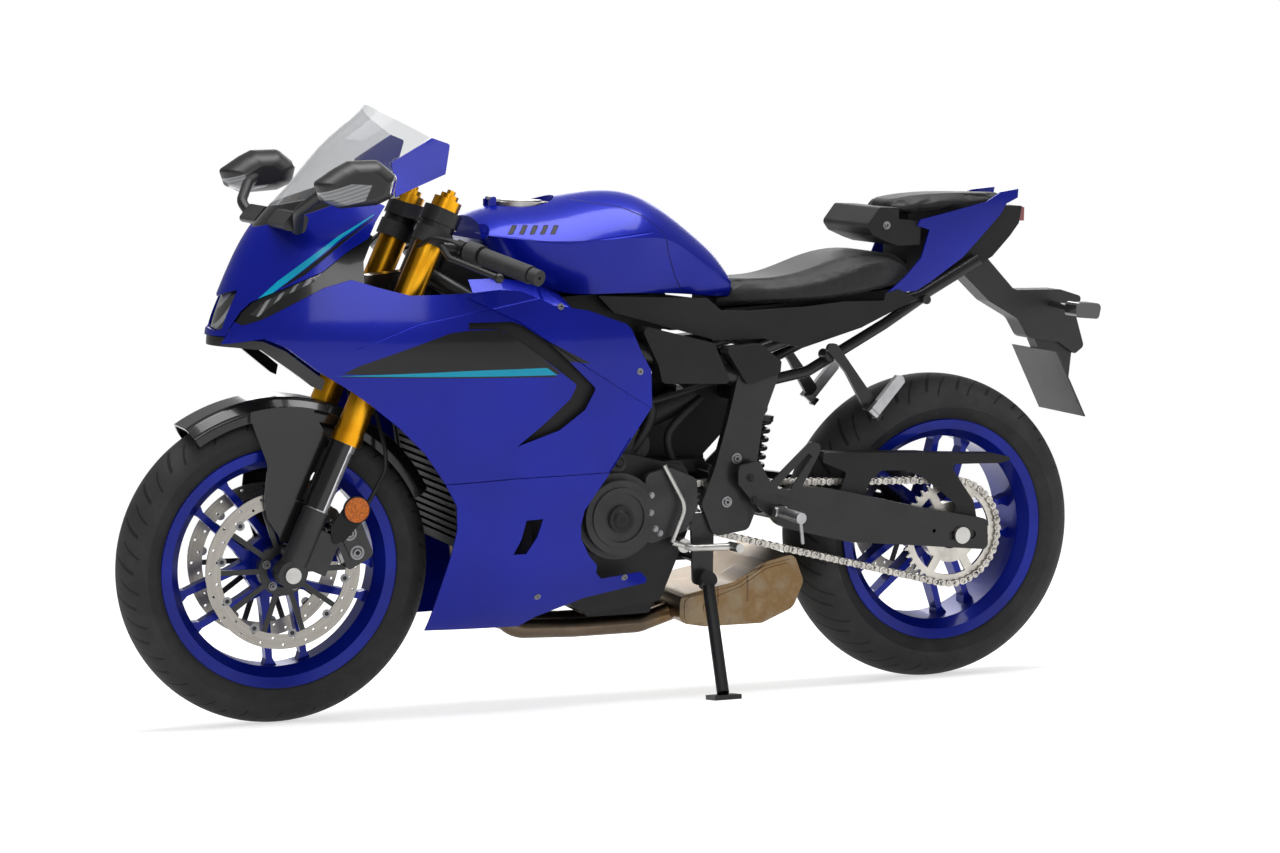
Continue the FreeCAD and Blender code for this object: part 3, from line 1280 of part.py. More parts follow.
@lru_cache(maxsize=None)
def tail_hull(inset):
    """Solid inside the tail's surface."""
    wires = []
    for z, front_x, front_half, rear_x, rear_half in TAIL_LEVELS:
        middle_x = (front_x + rear_x) / 2
        middle = (front_half + rear_half) / 2 + 8
        left = [V(front_x + 200, front_half - inset + 8, z), V(front_x, front_half - inset, z),
                V(middle_x, middle - inset, z), V(rear_x + inset, rear_half - inset, z)]
        right = [V(p.x, -p.y, p.z) for p in reversed(left)]
        one = Part.BSplineCurve()
        one.interpolate(left)
        two = Part.BSplineCurve()
        two.interpolate(right)
        back = Part.LineSegment(left[-1], right[0])
        front = Part.LineSegment(right[-1], left[0])
        wires.append(Part.Wire([one.toShape(), back.toShape(), two.toShape(), front.toShape()]))
    return loft(wires)


def tail_panels():
    """Blue side panels that rise to the tail's tip."""
    skin = tail_hull(0).cut(tail_hull(SKIN))
    outline = [(95, 938), (88, 950), (-80, 984), (-120, 1004), (-167, 1010), (-165, 992), (-134, 980),
               (-117, 958), (-20, 873), (59, 826), (95, 808), (170, 803), (125, 836), (86, 874), (66, 930)]
    return both(skin.common(prism_y(outline, 10, 200)))


@lru_cache(maxsize=None)
def under_tail():
    """Black tail core between the panels, with the seat lock block."""
    core = prism_y([(88, 804), (0, 812), (-110, 872), (-150, 914), (-170, 940), (-176, 975),
                    (-60, 978), (40, 972), (88, 960)], -52, 52)
    lock = prism_y([(206, 938, 10), (178, 975, 8), (134, 974), (134, 952), (84, 946), (84, 900), (134, 898),
                    (156, 905, 10), (192, 920, 10)], -98, 98)
    return fuse([core, lock]).cut(Part.makeCompound([rider_seat(), pillion_seat(), subframe()]))


def plate_holder():
    """Arm under the tail, light bar and the blank plate."""
    arm = prism_y([(-40, 850, 10), (-110, 870, 10), (-180, 800, 20), (-290, 800, 20), (-342, 785, 8),
                   (-330, 745, 20), (-352, 680, 10), (-330, 664, 8), (-290, 690, 20), (-215, 700, 20),
                   (-190, 740, 30), (-120, 778, 20)], -26, 26)
    plate = prism_y([(-246, 676), (-250, 676), (-322, 540), (-318, 540)], -90, 90)
    backing = prism_y([(-236, 700), (-330, 690), (-322, 600), (-286, 600)], -16, 16)
    return fuse([arm, plate, backing]).cut(under_tail())


def rear_lights():
    """Tail lamp under the tip, and the two indicators."""
    lamp = prism_y([(-171, 944), (-175.8, 972), (-190, 972), (-190, 944)], -38, 38)
    stalk = rod(V(-270, 27, 770), V(-262, 130, 768), 7)
    head = prism_y([(-240, 784, 8), (-300, 782, 10), (-294, 750, 8), (-240, 754, 8)], 128, 172)
    signal = fuse([stalk, head])
    return Part.makeCompound([lamp, signal, mirror(signal)])


def tray(points, y0, y1, wall):
    """Shallow cover: an outer wall with a rim that reaches inward."""
    outer = prism_y(points, y0, y1)
    base = corner_wire(points, lambda p: V(p.x, y0 - 1, p.y))
    inner = Part.Face(base.makeOffset2D(-wall)).extrude(V(0, y1 - y0 - wall + 1, 0))
    return outer.cut(inner)


def side_covers():
    """Black covers between the tank, the frame and the seat."""
    front = tray([(716, 754, 10), (559, 716, 4), (521, 636, 8), (667, 640, 12), (676, 676, 10)], 108, 152, 4)
    back = tray([(533, 705, 8), (457, 712, 8), (411, 677, 6), (413, 653, 6), (483, 631, 10)], 108, 147, 4)
    seat = prism_y([(790, 808), (758, 776, 8), (539, 718, 8), (438, 720), (354, 699, 12), (224, 737),
                    (100, 793), (140, 812), (230, 794), (350, 780), (465, 774), (530, 776), (560, 800)], 108, 120)
    seat = seat.cut(rider_seat()).cut(fuel_tank()).cut(tail_hull(0))
    return both(seat.fuse([front, back]).cut(Part.makeCompound([frame(), subframe()])))


def rider_peg_ears():
    """Two ears and the pin that hold the left rider peg."""
    y = HANGER_Y + 8 + SEAT_GAP + PEG_EYE_R
    ears = []
    for side in (-1, 1):
        x0, x1 = sorted((PEG_X + side * (PEG_EYE_HALF + SEAT_GAP), PEG_X + side * (PEG_EYE_HALF + 5)))
        ears.append(box(x0, x1, HANGER_Y + 4, y + 6, PEG_Z - 9, PEG_Z + 9))
    pin = rod(V(PEG_X - PEG_EYE_HALF - 3, y, PEG_Z), V(PEG_X + PEG_EYE_HALF + 3, y, PEG_Z), PEG_PIN_R)
    return ears + [pin]


def on_rear_peg(shape):
    """Carry a shape from the folded passenger peg's axes (X along the peg, Z along its pin)."""
    placed = shape.copy()
    placed.rotate(ORIGIN, Y_AXIS, REAR_PEG_TILT)
    placed.translate(V(REAR_PEG_X, REAR_PEG_Y, REAR_PEG_Z))
    return placed


def passenger_peg_ears():
    """Two ears and the pin that hold the left passenger peg."""
    ears = []
    for low in (-REAR_PEG_HALF - 6, REAR_PEG_HALF + SEAT_GAP):
        ears.append(box(-8, 8, 130 - REAR_PEG_Y, 6, low, low + 6 - SEAT_GAP))
    pin = Part.makeCylinder(PEG_PIN_R, 2 * REAR_PEG_HALF + 10, V(0, 0, -REAR_PEG_HALF - 5))
    return [on_rear_peg(piece) for piece in ears + [pin]]


def foot_hangers():
    """Rider's peg hangers with heel guards, and the passenger's triangular hangers."""
    y = HANGER_Y
    plate = prism_y([(506, 476, 12), (462, 484, 12), (430, 430, 14), (412, 380, 10), (428, 366, 10),
                     (466, 396, 12), (506, 440, 12)], y, y + 8)
    guard = prism_y([(452, 424, 8), (350, 518, 8), (326, 512, 8), (330, 492, 8), (380, 404, 8)], y, y + 5)
    guard = guard.cut(prism_y([(424, 428, 4), (352, 496, 4), (344, 488, 4), (392, 424, 4)], y - 1, y + 6))
    bosses = [disc_y(x, z, 11, PLATE_Y + PLATE_WIDE, y + 1) for x, z in ((490, 464), (482, 440))]
    rear = prism_y([(312, 708, 10), (284, 708, 10), (192, 590, 10), (214, 570, 10), (262, 650, 30),
                    (300, 690, 12)], 124, 134)
    boss = disc_y(293, 684, 11, 92, 125)
    left = fuse([plate, guard] + bosses + rider_peg_ears())
    mount = fuse([rear, boss] + passenger_peg_ears())
    return Part.makeCompound([left, mirror(left), mount, mirror(mount)]).cut(subframe())


def rider_peg():
    """Left folding peg of the rider."""
    y = HANGER_Y + 8 + SEAT_GAP + PEG_EYE_R
    bar = rod(V(PEG_X, y, PEG_Z), V(PEG_X - 6, y + 84, PEG_Z - 2), 11)
    eye = rod(V(PEG_X - PEG_EYE_HALF, y, PEG_Z), V(PEG_X + PEG_EYE_HALF, y, PEG_Z), PEG_EYE_R)
    feeler = rod(V(PEG_X - 6, y + 78, PEG_Z), V(PEG_X - 10, y + 84, PEG_Z - 52), 3.5)
    bore = rod(V(PEG_X - 40, y, PEG_Z), V(PEG_X + 40, y, PEG_Z), PEG_PIN_R + BEARING_GAP)
    room = box(PEG_X - 40, PEG_X + 40, y - 30, y - PEG_EYE_R, PEG_Z - 30, PEG_Z + 30)
    return fuse([bar, eye, feeler]).cut(bore).cut(room)


def passenger_peg():
    """Left folding peg of the passenger, folded up."""
    bar = prism_y([(0, -REAR_PEG_HALF), (88, -REAR_PEG_HALF, 4), (96, 0, 10), (88, REAR_PEG_HALF, 4),
                   (0, REAR_PEG_HALF)], -6, 6)
    eye = Part.makeCylinder(7, 2 * REAR_PEG_HALF, V(0, 0, -REAR_PEG_HALF))
    bore = Part.makeCylinder(PEG_PIN_R + BEARING_GAP, 60, V(0, 0, -30))
    return on_rear_peg(fuse([bar, eye]).cut(bore))


def pedals():
    """Shift lever with its rod on the left, brake pedal on the right."""
    lever = bent_tube([V(613, 140, 322), V(600, 160, 318), V(520, 176, 320)], 7, 20)
    tip = rod(V(524, 168, 320), V(520, 206, 321), 9)
    pivot = disc_y(613, 322, 14, 128, 150).fuse(disc_y(613, 322, 8, CASE_HALF + SEAT_GAP, 130))
    link = bent_tube([V(640, 150, 330), V(612, 150, 400), V(655, 140, 480)], 5, 40)
    shift = fuse([lever, tip, pivot, link, rod(V(640, 150, 330), V(613, 146, 322), 6)])
    pedal = bent_tube([V(450, -169.3, 402), V(482, -172, 352), V(580, -180, 330)], 7, 20)
    pad = rod(V(580, -172, 330), V(578, -214, 330), 10)
    return Part.makeCompound([shift, fuse([pedal, pad])])


def side_stand():
    """Stand leg, down, with its foot flat on the ground."""
    pivot = V(STAND_X, STAND_Y, STAND_Z)
    foot = V(FOOT_X, FOOT_Y, ground_z(FOOT_Y) + 12)
    leg = rod(pivot + (foot - pivot).normalize() * 13, foot, STAND_R)
    eye = rod(pivot - STAND_AXIS * 9, pivot + STAND_AXIS * 9, 17)
    thick = 9.0
    pad = box(FOOT_X - 30, FOOT_X + 26, FOOT_Y - 22, FOOT_Y + 22, 0, thick)
    pad.rotate(V(FOOT_X, FOOT_Y, 0), X_AXIS, LEAN)
    pad.translate(V(0, 0, ground_z(FOOT_Y)))
    return fuse([leg, eye, pad])


PIECES = {
    "frame": frame,
    "subframe": subframe,
    "engine": engine,
    "engine_covers": engine_covers,
    "radiator": radiator,
    "exhaust": exhaust,
    "swingarm": swingarm,
    "rear_axle": rear_axle,
    "chain": chain,
    "drive_sprocket": drive_sprocket,
    "chain_guard": chain_guard,
    "shock_absorber": shock_absorber,
    "intake": intake,
    "under_seat_tray": under_seat_tray,
    "fuel_tank": fuel_tank,
    "fuel_cap": fuel_cap,
    "rider_seat": rider_seat,
    "pillion_seat": pillion_seat,
    "tail_panels": tail_panels,
    "under_tail": under_tail,
    "plate_holder": plate_holder,
    "rear_lights": rear_lights,
    "windscreen": windscreen,
    "nose_cowl": nose_cowl,
    "nose_trim": nose_trim,
    "headlamps": headlamps,
    "side_fairings": side_fairings,
    "lower_fairings": lower_fairings,
    "fairing_inners": fairing_inners,
    "instrument_panel": instrument_panel,
    "mirrors": mirrors,
    "side_covers": side_covers,
    "foot_hangers": foot_hangers,
    "pedals": pedals,
    "rear_caliper": rear_caliper,
    "fork_tubes": fork_tubes,
    "fork_legs": fork_legs,
    "triple_clamps": triple_clamps,
    "handlebars": handlebars,
    "levers": levers,
    "front_fender": front_fender,
    "front_calipers": front_calipers,
    "front_axle": front_axle,
    "side_reflectors": side_reflectors,
    "brake_hoses": brake_hoses,
    "front_rim": front_rim,
    "front_tyre": front_tyre,
    "front_discs": front_discs,
    "rear_rim": rear_rim,
    "rear_tyre": rear_tyre,
    "rear_sprocket": rear_sprocket,
    "rear_disc": rear_disc,
    "side_stand": side_stand,
    "rider_peg_left": rider_peg,
    "rider_peg_right": lambda: mirror(rider_peg()),
    "passenger_peg_left": passenger_peg,
    "passenger_peg_right": lambda: mirror(passenger_peg()),
}


def main():
    os.makedirs("parts", exist_ok=True)
    bounds = FreeCAD.BoundBox()
    for name, make in PIECES.items():
        shape = park(make())
        shape.exportStep(os.path.join("parts", name + ".step"))
        bounds.add(shape.BoundBox)
        print(name, len(shape.Solids), "solids", "valid" if shape.isValid() else "NOT VALID",
              round(shape.Volume / 1e6, 3), "litres")
    print("box", bounds)


main()
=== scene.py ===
"""Looks of the full-faired sport motorcycle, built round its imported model.

Lengths are metres, and places that go through upright() are millimetres. The bike frame is upright, with
X forward from the rear axle, Y left and Z up; the row frame is the bike frame leaned onto its stand.
"""
import json
import math
from functools import cache, reduce
from operator import mul, or_

import bmesh
import bpy
import numpy as np
from mathutils import Matrix, Vector
from mathutils.bvhtree import BVHTree


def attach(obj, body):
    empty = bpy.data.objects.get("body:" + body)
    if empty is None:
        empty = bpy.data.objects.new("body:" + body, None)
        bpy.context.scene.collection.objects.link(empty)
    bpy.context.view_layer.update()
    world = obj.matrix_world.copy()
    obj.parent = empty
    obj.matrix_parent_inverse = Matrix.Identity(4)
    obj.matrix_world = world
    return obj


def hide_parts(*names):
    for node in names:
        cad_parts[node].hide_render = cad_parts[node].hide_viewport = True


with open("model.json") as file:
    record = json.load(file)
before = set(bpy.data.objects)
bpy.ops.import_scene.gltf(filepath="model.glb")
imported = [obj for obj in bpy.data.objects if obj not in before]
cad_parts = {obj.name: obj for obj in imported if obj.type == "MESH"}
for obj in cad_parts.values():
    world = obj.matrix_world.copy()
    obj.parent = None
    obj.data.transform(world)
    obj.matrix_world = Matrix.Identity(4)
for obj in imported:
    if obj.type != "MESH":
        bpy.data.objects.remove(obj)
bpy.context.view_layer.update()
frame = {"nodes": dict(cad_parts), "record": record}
scene = bpy.context.scene
nodes = frame["nodes"]

LEAN = math.radians(9.0)
TYRE_HALF, TYRE_CROWN = 0.180 / 2, 0.062
CROWN_LEANED = TYRE_CROWN * math.cos(LEAN)
PARK = Vector((-0.672, -0.148, math.hypot(TYRE_HALF * math.sin(LEAN), CROWN_LEANED) - CROWN_LEANED))
TO_ROW = Matrix.Translation(PARK) @ Matrix.Rotation(-LEAN, 4, "X")
RAKE = math.radians(23.8)
FRONT_AXLE = (1.395, 0.300)
REAR_AXLE = (0.0, 0.315)
FRONT_CARRIER, REAR_CARRIER = 0.1205, 0.0940
SIDES = ((1, "left"), (-1, "right"))


def linked(name, data):
    """A new object of the scene."""
    obj = bpy.data.objects.new(name, data)
    scene.collection.objects.link(obj)
    return obj


def plain_mesh(obj):
    """The evaluated mesh of an object, which is then removed."""
    mesh = bpy.data.meshes.new_from_object(obj.evaluated_get(bpy.context.evaluated_depsgraph_get()))
    bpy.data.objects.remove(obj)
    return mesh


def on_circle(x, z, radius, angle):
    return x + radius * math.cos(angle), z + radius * math.sin(angle)


# Camera

CAMERA_AT = Vector((2.9480, 5.3146, 1.2340))
CAMERA_YAW, CAMERA_PITCH, CAMERA_ROLL = (math.radians(a) for a in (-113.411, -6.846, 1.002))
FOCAL_PIXELS = 2952.3
IMAGE_WIDTH = 1280
SENSOR = 36.0


def make_camera():
    data = bpy.data.cameras.new("camera")
    data.sensor_width = SENSOR
    data.lens = FOCAL_PIXELS / IMAGE_WIDTH * SENSOR
    data.clip_end = 100.0
    look = Vector((math.cos(CAMERA_PITCH) * math.cos(CAMERA_YAW),
                   math.cos(CAMERA_PITCH) * math.sin(CAMERA_YAW), math.sin(CAMERA_PITCH)))
    right = look.cross(Vector((0, 0, 1))).normalized()
    up = right.cross(look)
    c, s = math.cos(CAMERA_ROLL), math.sin(CAMERA_ROLL)
    right, up = c * right + s * up, -s * right + c * up
    turn = Matrix((right, up, -look)).transposed().to_4x4()
    scene.camera = linked("camera", data)
    scene.camera.matrix_world = TO_ROW @ Matrix.Translation(CAMERA_AT) @ turn


make_camera()


# Shader maths

def maths(operation, flip=False):
    """A method of Wire that adds one Math node."""
    return lambda wire, *others: wire.math(operation, *others, flip=flip)


class Wire:
    """A socket that takes part in Python expressions."""

    def __init__(self, tree, socket):
        self.tree = tree
        self.socket = socket

    def math(self, operation, *others, flip=False, clamp=False):
        values = [self, *others]
        if flip:
            values.reverse()
        return make_node(self.tree, "ShaderNodeMath", {"operation": operation, "use_clamp": clamp},
                         dict(enumerate(values)))

    __add__ = __radd__ = maths("ADD")
    __sub__ = maths("SUBTRACT")
    __rsub__ = maths("SUBTRACT", flip=True)
    __mul__ = __rmul__ = __and__ = maths("MULTIPLY")
    __truediv__ = maths("DIVIDE")
    __or__ = maths("MAXIMUM")
    __lt__ = maths("LESS_THAN")
    __abs__ = maths("ABSOLUTE")
    sin = maths("SINE")
    fraction = maths("FRACT")
    root = maths("SQRT")
    atan2 = maths("ARCTAN2")

    def clamp(self):
        return self.math("ADD", 0.0, clamp=True)

    def ramp(self, low, high):
        """0 below low and 1 above high, smooth between."""
        return make_node(self.tree, "ShaderNodeMapRange", {"interpolation_type": "SMOOTHSTEP"},
                         {"Value": self, "From Min": low, "From Max": high})

    def step(self, at, soft=0.0005):
        """0 before a value and 1 after it."""
        return self.ramp(at - soft, at + soft)

    def between(self, start, full, fade, end):
        """1 from full to fade, and 0 before start and after end."""
        return self.ramp(start, full) * (1.0 - self.ramp(fade, end))

    def other(self, out):
        """Another output of the same node."""
        return Wire(self.tree, self.socket.node.outputs[out])


def connect(tree, slot, value):
    """Links a wire to a socket, or sets its own value; a colour may leave out its alpha."""
    if isinstance(value, Wire):
        tree.links.new(value.socket, slot)
    elif isinstance(value, tuple):
        slot.default_value = value + (1.0,) * (len(slot.default_value) - len(value))
    else:
        slot.default_value = value


def set_stops(ramp, stops):
    while len(ramp.elements) < len(stops):
        ramp.elements.new(0.5)
    for element, (place, color) in zip(ramp.elements, stops):
        element.position = place
        element.color = (*color, 1.0)


def make_node(tree, kind, settings=None, inputs=None, out=0):
    """Adds a node, sets its settings first, then its sockets, and gives one output."""
    node = tree.nodes.new(kind)
    for key, value in (settings or {}).items():
        if key == "stops":
            set_stops(node.color_ramp, value)
        else:
            setattr(node, key, value)
    for key, value in (inputs or {}).items():
        connect(tree, node.inputs[key], value)
    return Wire(tree, node.outputs[out])


class Finish:
    """A material with one surface shader."""

    def __init__(self, name):
        self.material = bpy.data.materials.new(name)
        self.material.use_nodes = True
        self.tree = self.material.node_tree
        self.shader = self.tree.nodes["Principled BSDF"]
        self.material["finish"] = name

    def node(self, kind, settings=None, inputs=None, out=0):
        return make_node(self.tree, kind, settings, inputs, out)

    def place(self):
        """Object coordinates, which are the row frame at rest."""
        return self.node("ShaderNodeTexCoord", out="Object")

    def parts(self, vector):
        split = self.node("ShaderNodeSeparateXYZ", {}, {0: vector})
        return [split.other(i) for i in range(3)]

    def bike(self):
        """The place in the bike frame, as three numbers."""
        moved = self.node("ShaderNodeVectorMath", {"operation": "SUBTRACT"},
                          {0: self.place(), 1: tuple(PARK)})
        return self.parts(self.node("ShaderNodeVectorRotate", {"rotation_type": "X_AXIS"},
                                    {"Vector": moved, "Angle": LEAN}))

    def wheel(self, axle):
        """Radius, angle and sideways place about an axle."""
        x, y, z = self.bike()
        dx, dz = x - axle[0], z - axle[1]
        return (dx * dx + dz * dz).root(), dz.atan2(dx), y

    def vector(self, x, y, z):
        return self.node("ShaderNodeCombineXYZ", {}, {0: x, 1: y, 2: z})

    def noise(self, scale, detail=3.0, rough=0.5, at=None):
        return self.node("ShaderNodeTexNoise", {}, {"Vector": at or self.place(), "Scale": scale,
                                                    "Detail": detail, "Roughness": rough})

    def cells(self, scale, feature="F1"):
        return self.node("ShaderNodeTexVoronoi", {"feature": feature},
                         {"Vector": self.place(), "Scale": scale}, out="Distance")

    def mix(self, share, one, two):
        """Colour between two colours."""
        return self.node("ShaderNodeMix", {"data_type": "RGBA"}, {"Factor": share, 6: one, 7: two}, out=2)

    def patches(self, noise, one, two):
        """Soft patches of two colours."""
        return self.mix(noise.ramp(0.3, 0.7), one, two)

    def bump(self, height, distance, strength=1.0, normal=None):
        inputs = {"Height": height, "Distance": distance, "Strength": strength}
        if normal:
            inputs["Normal"] = normal
        return self.node("ShaderNodeBump", {}, inputs)

    def set(self, **sockets):
        for key, value in sockets.items():
            connect(self.tree, self.shader.inputs[key.replace("_", " ")], value)
        return self.material


# Colours and painted outlines

def grey(level, blue=0.001):
    """A near neutral colour, a little towards blue."""
    return (level, level, level + blue)


def times(color, factor, lift=0.0):
    return tuple(c * factor + lift for c in color)


BLUE = (0.0025, 0.010, 0.33)
CYAN = (0.0, 0.40, 0.62)
BLACK = grey(0.008)


def line_side(x, z, start, end):
    """Signed distance of (x, z) from the line through two points, positive on its left."""
    dx, dz = end[0] - start[0], end[1] - start[1]
    length = math.hypot(dx, dz)
    return (x - start[0]) * (-dz / length) + (z - start[1]) * (dx / length)


def inside(x, z, points, soft=0.0008):
    """Mask of a convex outline given anticlockwise as seen with x to the right and z up."""
    return reduce(mul, [line_side(x, z, start, end).step(0.0, soft)
                        for start, end in zip(points, points[1:] + points[:1])])


def stroke(x, z, points, widths, soft=0.0006):
    """Mask of a line through points, with one half width or one at each point."""
    if isinstance(widths, float):
        widths = (widths,) * len(points)
    parts = []
    for (x0, z0), (x1, z1), w0, w1 in zip(points, points[1:], widths, widths[1:]):
        dx, dz = x1 - x0, z1 - z0
        along = (((x - x0) * dx + (z - z0) * dz) / (dx * dx + dz * dz)).clamp()
        off_x, off_z = x - x0 - along * dx, z - z0 - along * dz
        far = (off_x * off_x + off_z * off_z).root() - (along * (w1 - w0) + w0)
        parts.append(1.0 - far.step(0.0, soft))
    return reduce(or_, parts)


# Paint

PANEL_FIELD = ((0.905, 0.672), (1.330, 0.676), (1.286, 0.692), (1.215, 0.730), (1.161, 0.747),
               (1.086, 0.756), (1.028, 0.757), (0.949, 0.706))
PANEL_WEDGE = ((0.846, 0.690), (0.949, 0.700), (1.028, 0.753), (0.996, 0.748), (0.934, 0.734))
PANEL_LINE = ((0.914, 0.670), (1.324, 0.6725), (1.215, 0.677), (1.087, 0.682), (0.935, 0.684))
PANEL_SHADE = ((0.916, 0.6665), (1.318, 0.6705), (1.318, 0.6725), (0.916, 0.6700))
PANEL_CREASE = ((0.905, 0.822), (1.020, 0.800), (1.180, 0.768), (1.290, 0.722))
NOSE_LINE = ((1.452, 0.804), (1.414, 0.838), (1.376, 0.868), (1.307, 0.923), (1.243, 0.965))
NOSE_LINE_WIDTHS = (0.0032, 0.0052, 0.0050, 0.0030, 0.0006)
# Painted shadow line along the underside of the cyan nose line.
NOSE_SHADE = ((1.410, 0.832), (1.372, 0.859), (1.303, 0.915), (1.246, 0.957))
NOSE_SHADE_WIDTHS = (0.0010, 0.0036, 0.0026, 0.0006)
TANK_LOUVRES = (0.968, 0.948, 0.928, 0.908, 0.888)
LOUVRE_FOOT, LOUVRE_TOP, LOUVRE_WIDTH, LOUVRE_SLANT = 0.928, 0.944, 0.009, 0.015
TANK_SEAM = ((0.823, 0.990), (0.782, 0.983), (0.740, 0.977), (0.696, 0.959), (0.657, 0.928), (0.646, 0.890),
             (0.626, 0.845), (0.603, 0.810))
TANK_CREASE = ((1.025, 0.927), (0.971, 0.921), (0.911, 0.913), (0.868, 0.911), (0.807, 0.918),
               (0.686, 0.930))
CUT_DEPTH = 0.0012


def metallic_paint(name, plan=None):
    """Blue metallic paint under clear lacquer, with the colours and cuts that plan lays over it."""
    f = Finish(name)
    flake = f.cells(2600.0)
    tint = f.noise(5.0, 2.0)
    color = f.patches(tint, BLUE, times(BLUE, 0.82))
    color = f.mix(flake.ramp(0.5, 0.9) * 0.35, color, times(BLUE, 1.6, 0.004))
    metallic, coat, normal = 0.4, 0.38, None
    if plan:
        color, flat, cuts = plan(f, color)
        metallic = (1.0 - flat) * metallic
        coat = (1.0 - cuts) * coat
        normal = f.bump(1.0 - cuts, CUT_DEPTH, 0.8)
    orange_peel = f.bump(f.noise(260.0, 1.0), 0.00002, 0.35, normal)
    return f.set(Base_Color=color, Metallic=metallic, Roughness=tint * 0.08 + 0.30, Specular_IOR_Level=0.15,
                 Coat_Weight=coat, Coat_Roughness=0.10, Coat_IOR=1.45, Normal=orange_peel)


def fairing_graphics(f, color):
    """Black field over the cyan line along the panel's crease, with a shadow line below it."""
    x, _, z = f.bike()
    field = inside(x, z, PANEL_FIELD) | inside(x, z, PANEL_WEDGE)
    line, shade = inside(x, z, PANEL_LINE), inside(x, z, PANEL_SHADE)
    color = f.mix(shade, f.mix(field, color, BLACK), BLACK)
    color = f.mix(line, color, CYAN)
    return color, field | line | shade, stroke(x, z, PANEL_CREASE, 0.0008, 0.0008)


def nose_graphics(f, color):
    """Cyan line that runs down to the nose and widens at its middle, over a dark line that is painted
    shadow, cut into the panel as well.
    """
    x, _, z = f.bike()
    line = stroke(x, z, NOSE_LINE, NOSE_LINE_WIDTHS)
    shade = stroke(x, z, NOSE_SHADE, NOSE_SHADE_WIDTHS)
    color = f.mix(line, f.mix(shade, color, BLACK), CYAN)
    return color, line | shade, shade


def tank_graphics(f, color):
    """Five dark louvres above the tank's side crease, and the seam of its cover."""
    x, y, z = f.bike()
    beside = abs(y).ramp(0.055, 0.062)
    slots = []
    for front in TANK_LOUVRES:
        rear = front - LOUVRE_WIDTH
        slots.append(inside(x, z, ((rear, LOUVRE_TOP), (rear + LOUVRE_SLANT, LOUVRE_FOOT),
                                   (front + LOUVRE_SLANT, LOUVRE_FOOT), (front, LOUVRE_TOP))))
    louvres = reduce(or_, slots) * beside
    seam = stroke(x, z, TANK_SEAM, 0.0007)
    crease = stroke(x, z, TANK_CREASE, 0.0010, 0.0012) * 0.6 * beside
    color = f.mix(louvres | seam * 0.85, color, BLACK)
    return color, louvres | seam, louvres | seam | crease


def wheel_paint():
    f = Finish("wheel_paint")
    tint = f.noise(9.0, 2.0)
    cast = f.noise(420.0, 2.0)
    color = f.patches(tint, (0.004, 0.016, 0.30), (0.003, 0.010, 0.22))
    return f.set(Base_Color=color, Metallic=0.4, Roughness=tint * 0.08 + 0.30, Specular_IOR_Level=0.1,
                 Coat_Weight=0.3, Coat_Roughness=0.08, Normal=f.bump(cast, 0.00006, 0.4))


# Plain finishes

def satin(name, color, rough=0.42, metallic=0.0, coat=0.0, depth=0.00005):
    """Painted or powder-coated metal."""
    f = Finish(name)
    tint = f.noise(14.0)
    fine = f.noise(600.0, 2.0)
    dust = f.noise(40.0, 4.0, 0.6)
    shade = f.patches(tint, color, times(color, 0.7))
    shade = f.mix(dust.ramp(0.55, 0.85) * 0.25, shade, times(color, 1.5, 0.01))
    return f.set(Base_Color=shade, Metallic=metallic, Roughness=tint * 0.16 + (rough - 0.08),
                 Specular_IOR_Level=0.3, Coat_Weight=coat, Coat_Roughness=0.1,
                 Normal=f.bump(fine, depth, 0.6))


def grained(name, color, rough=0.55, scale=900.0, depth=0.00012):
    """Moulded plastic or rubber with a leather-like grain."""
    f = Finish(name)
    cells = f.cells(scale, "SMOOTH_F1")
    tint = f.noise(10.0)
    return f.set(Base_Color=f.patches(tint, color, times(color, 0.75)), Specular_IOR_Level=0.28,
                 Roughness=tint * 0.14 + (rough - 0.07), Normal=f.bump(cells, depth, 0.5))


def gloss(name, color):
    """Gloss black moulding."""
    f = Finish(name)
    tint = f.noise(7.0, 2.0)
    wave = f.noise(180.0, 1.0)
    return f.set(Base_Color=f.patches(tint, color, times(color, 0.7)), Roughness=tint * 0.08 + 0.16,
                 Specular_IOR_Level=0.3, Coat_Weight=0.35, Coat_Roughness=0.05,
                 Normal=f.bump(wave, 0.00003, 0.4))


def metal(name, color, rough=0.3, scale=300.0, depth=0.00003):
    """Bare metal with fine machined marks."""
    f = Finish(name)
    marks = f.noise(scale, 3.0, 0.6)
    stain = f.noise(22.0, 4.0, 0.6)
    shade = f.mix(stain.ramp(0.35, 0.75), color, times(color, 0.72))
    return f.set(Base_Color=shade, Metallic=1.0, Roughness=(marks * 0.16 + (rough - 0.06) + stain * 0.06),
                 Normal=f.bump(marks, depth, 0.5))


# Finishes of single pieces

def tyre_rubber(name, axle, radius_out, half, turns):
    """Rubber with slanted tread grooves over the crown, painted near black as shade in them, and moulded
    rings on the sidewall.
    """
    f = Finish(name)
    radius, angle, y = f.wheel(axle)
    side = abs(y) / half
    around = angle * (turns / (2 * math.pi)) + abs(y) * 9.0
    tread = radius.ramp(radius_out - 0.055, radius_out - 0.045)
    wide = (abs(around.fraction() - 0.5) < 0.055) & side.between(0.12, 0.2, 0.80, 0.86)
    narrow = abs((around + 0.37 + abs(y) * 3.0).fraction() - 0.5) < 0.035
    groove = (wide | (narrow & side.between(0.38, 0.44, 0.9, 0.94))) & tread
    rings = ((radius * 900.0).sin() * 0.5 + 0.5) * (1.0 - tread)
    fine = f.noise(700.0, 2.0)
    dust = f.noise(16.0, 4.0, 0.6)
    shade = f.mix(dust.ramp(0.35, 0.8), grey(0.030), (0.052, 0.051, 0.049))
    # The grooves are painted near black: painted shade in the tread.
    shade = f.mix(groove * 0.85, shade, grey(0.006, 0.0))
    return f.set(Base_Color=shade, Roughness=dust * 0.16 + 0.62, Specular_IOR_Level=0.3,
                 Normal=f.bump(fine * 0.08 + rings * 0.12 - groove, 0.0018, 0.8))


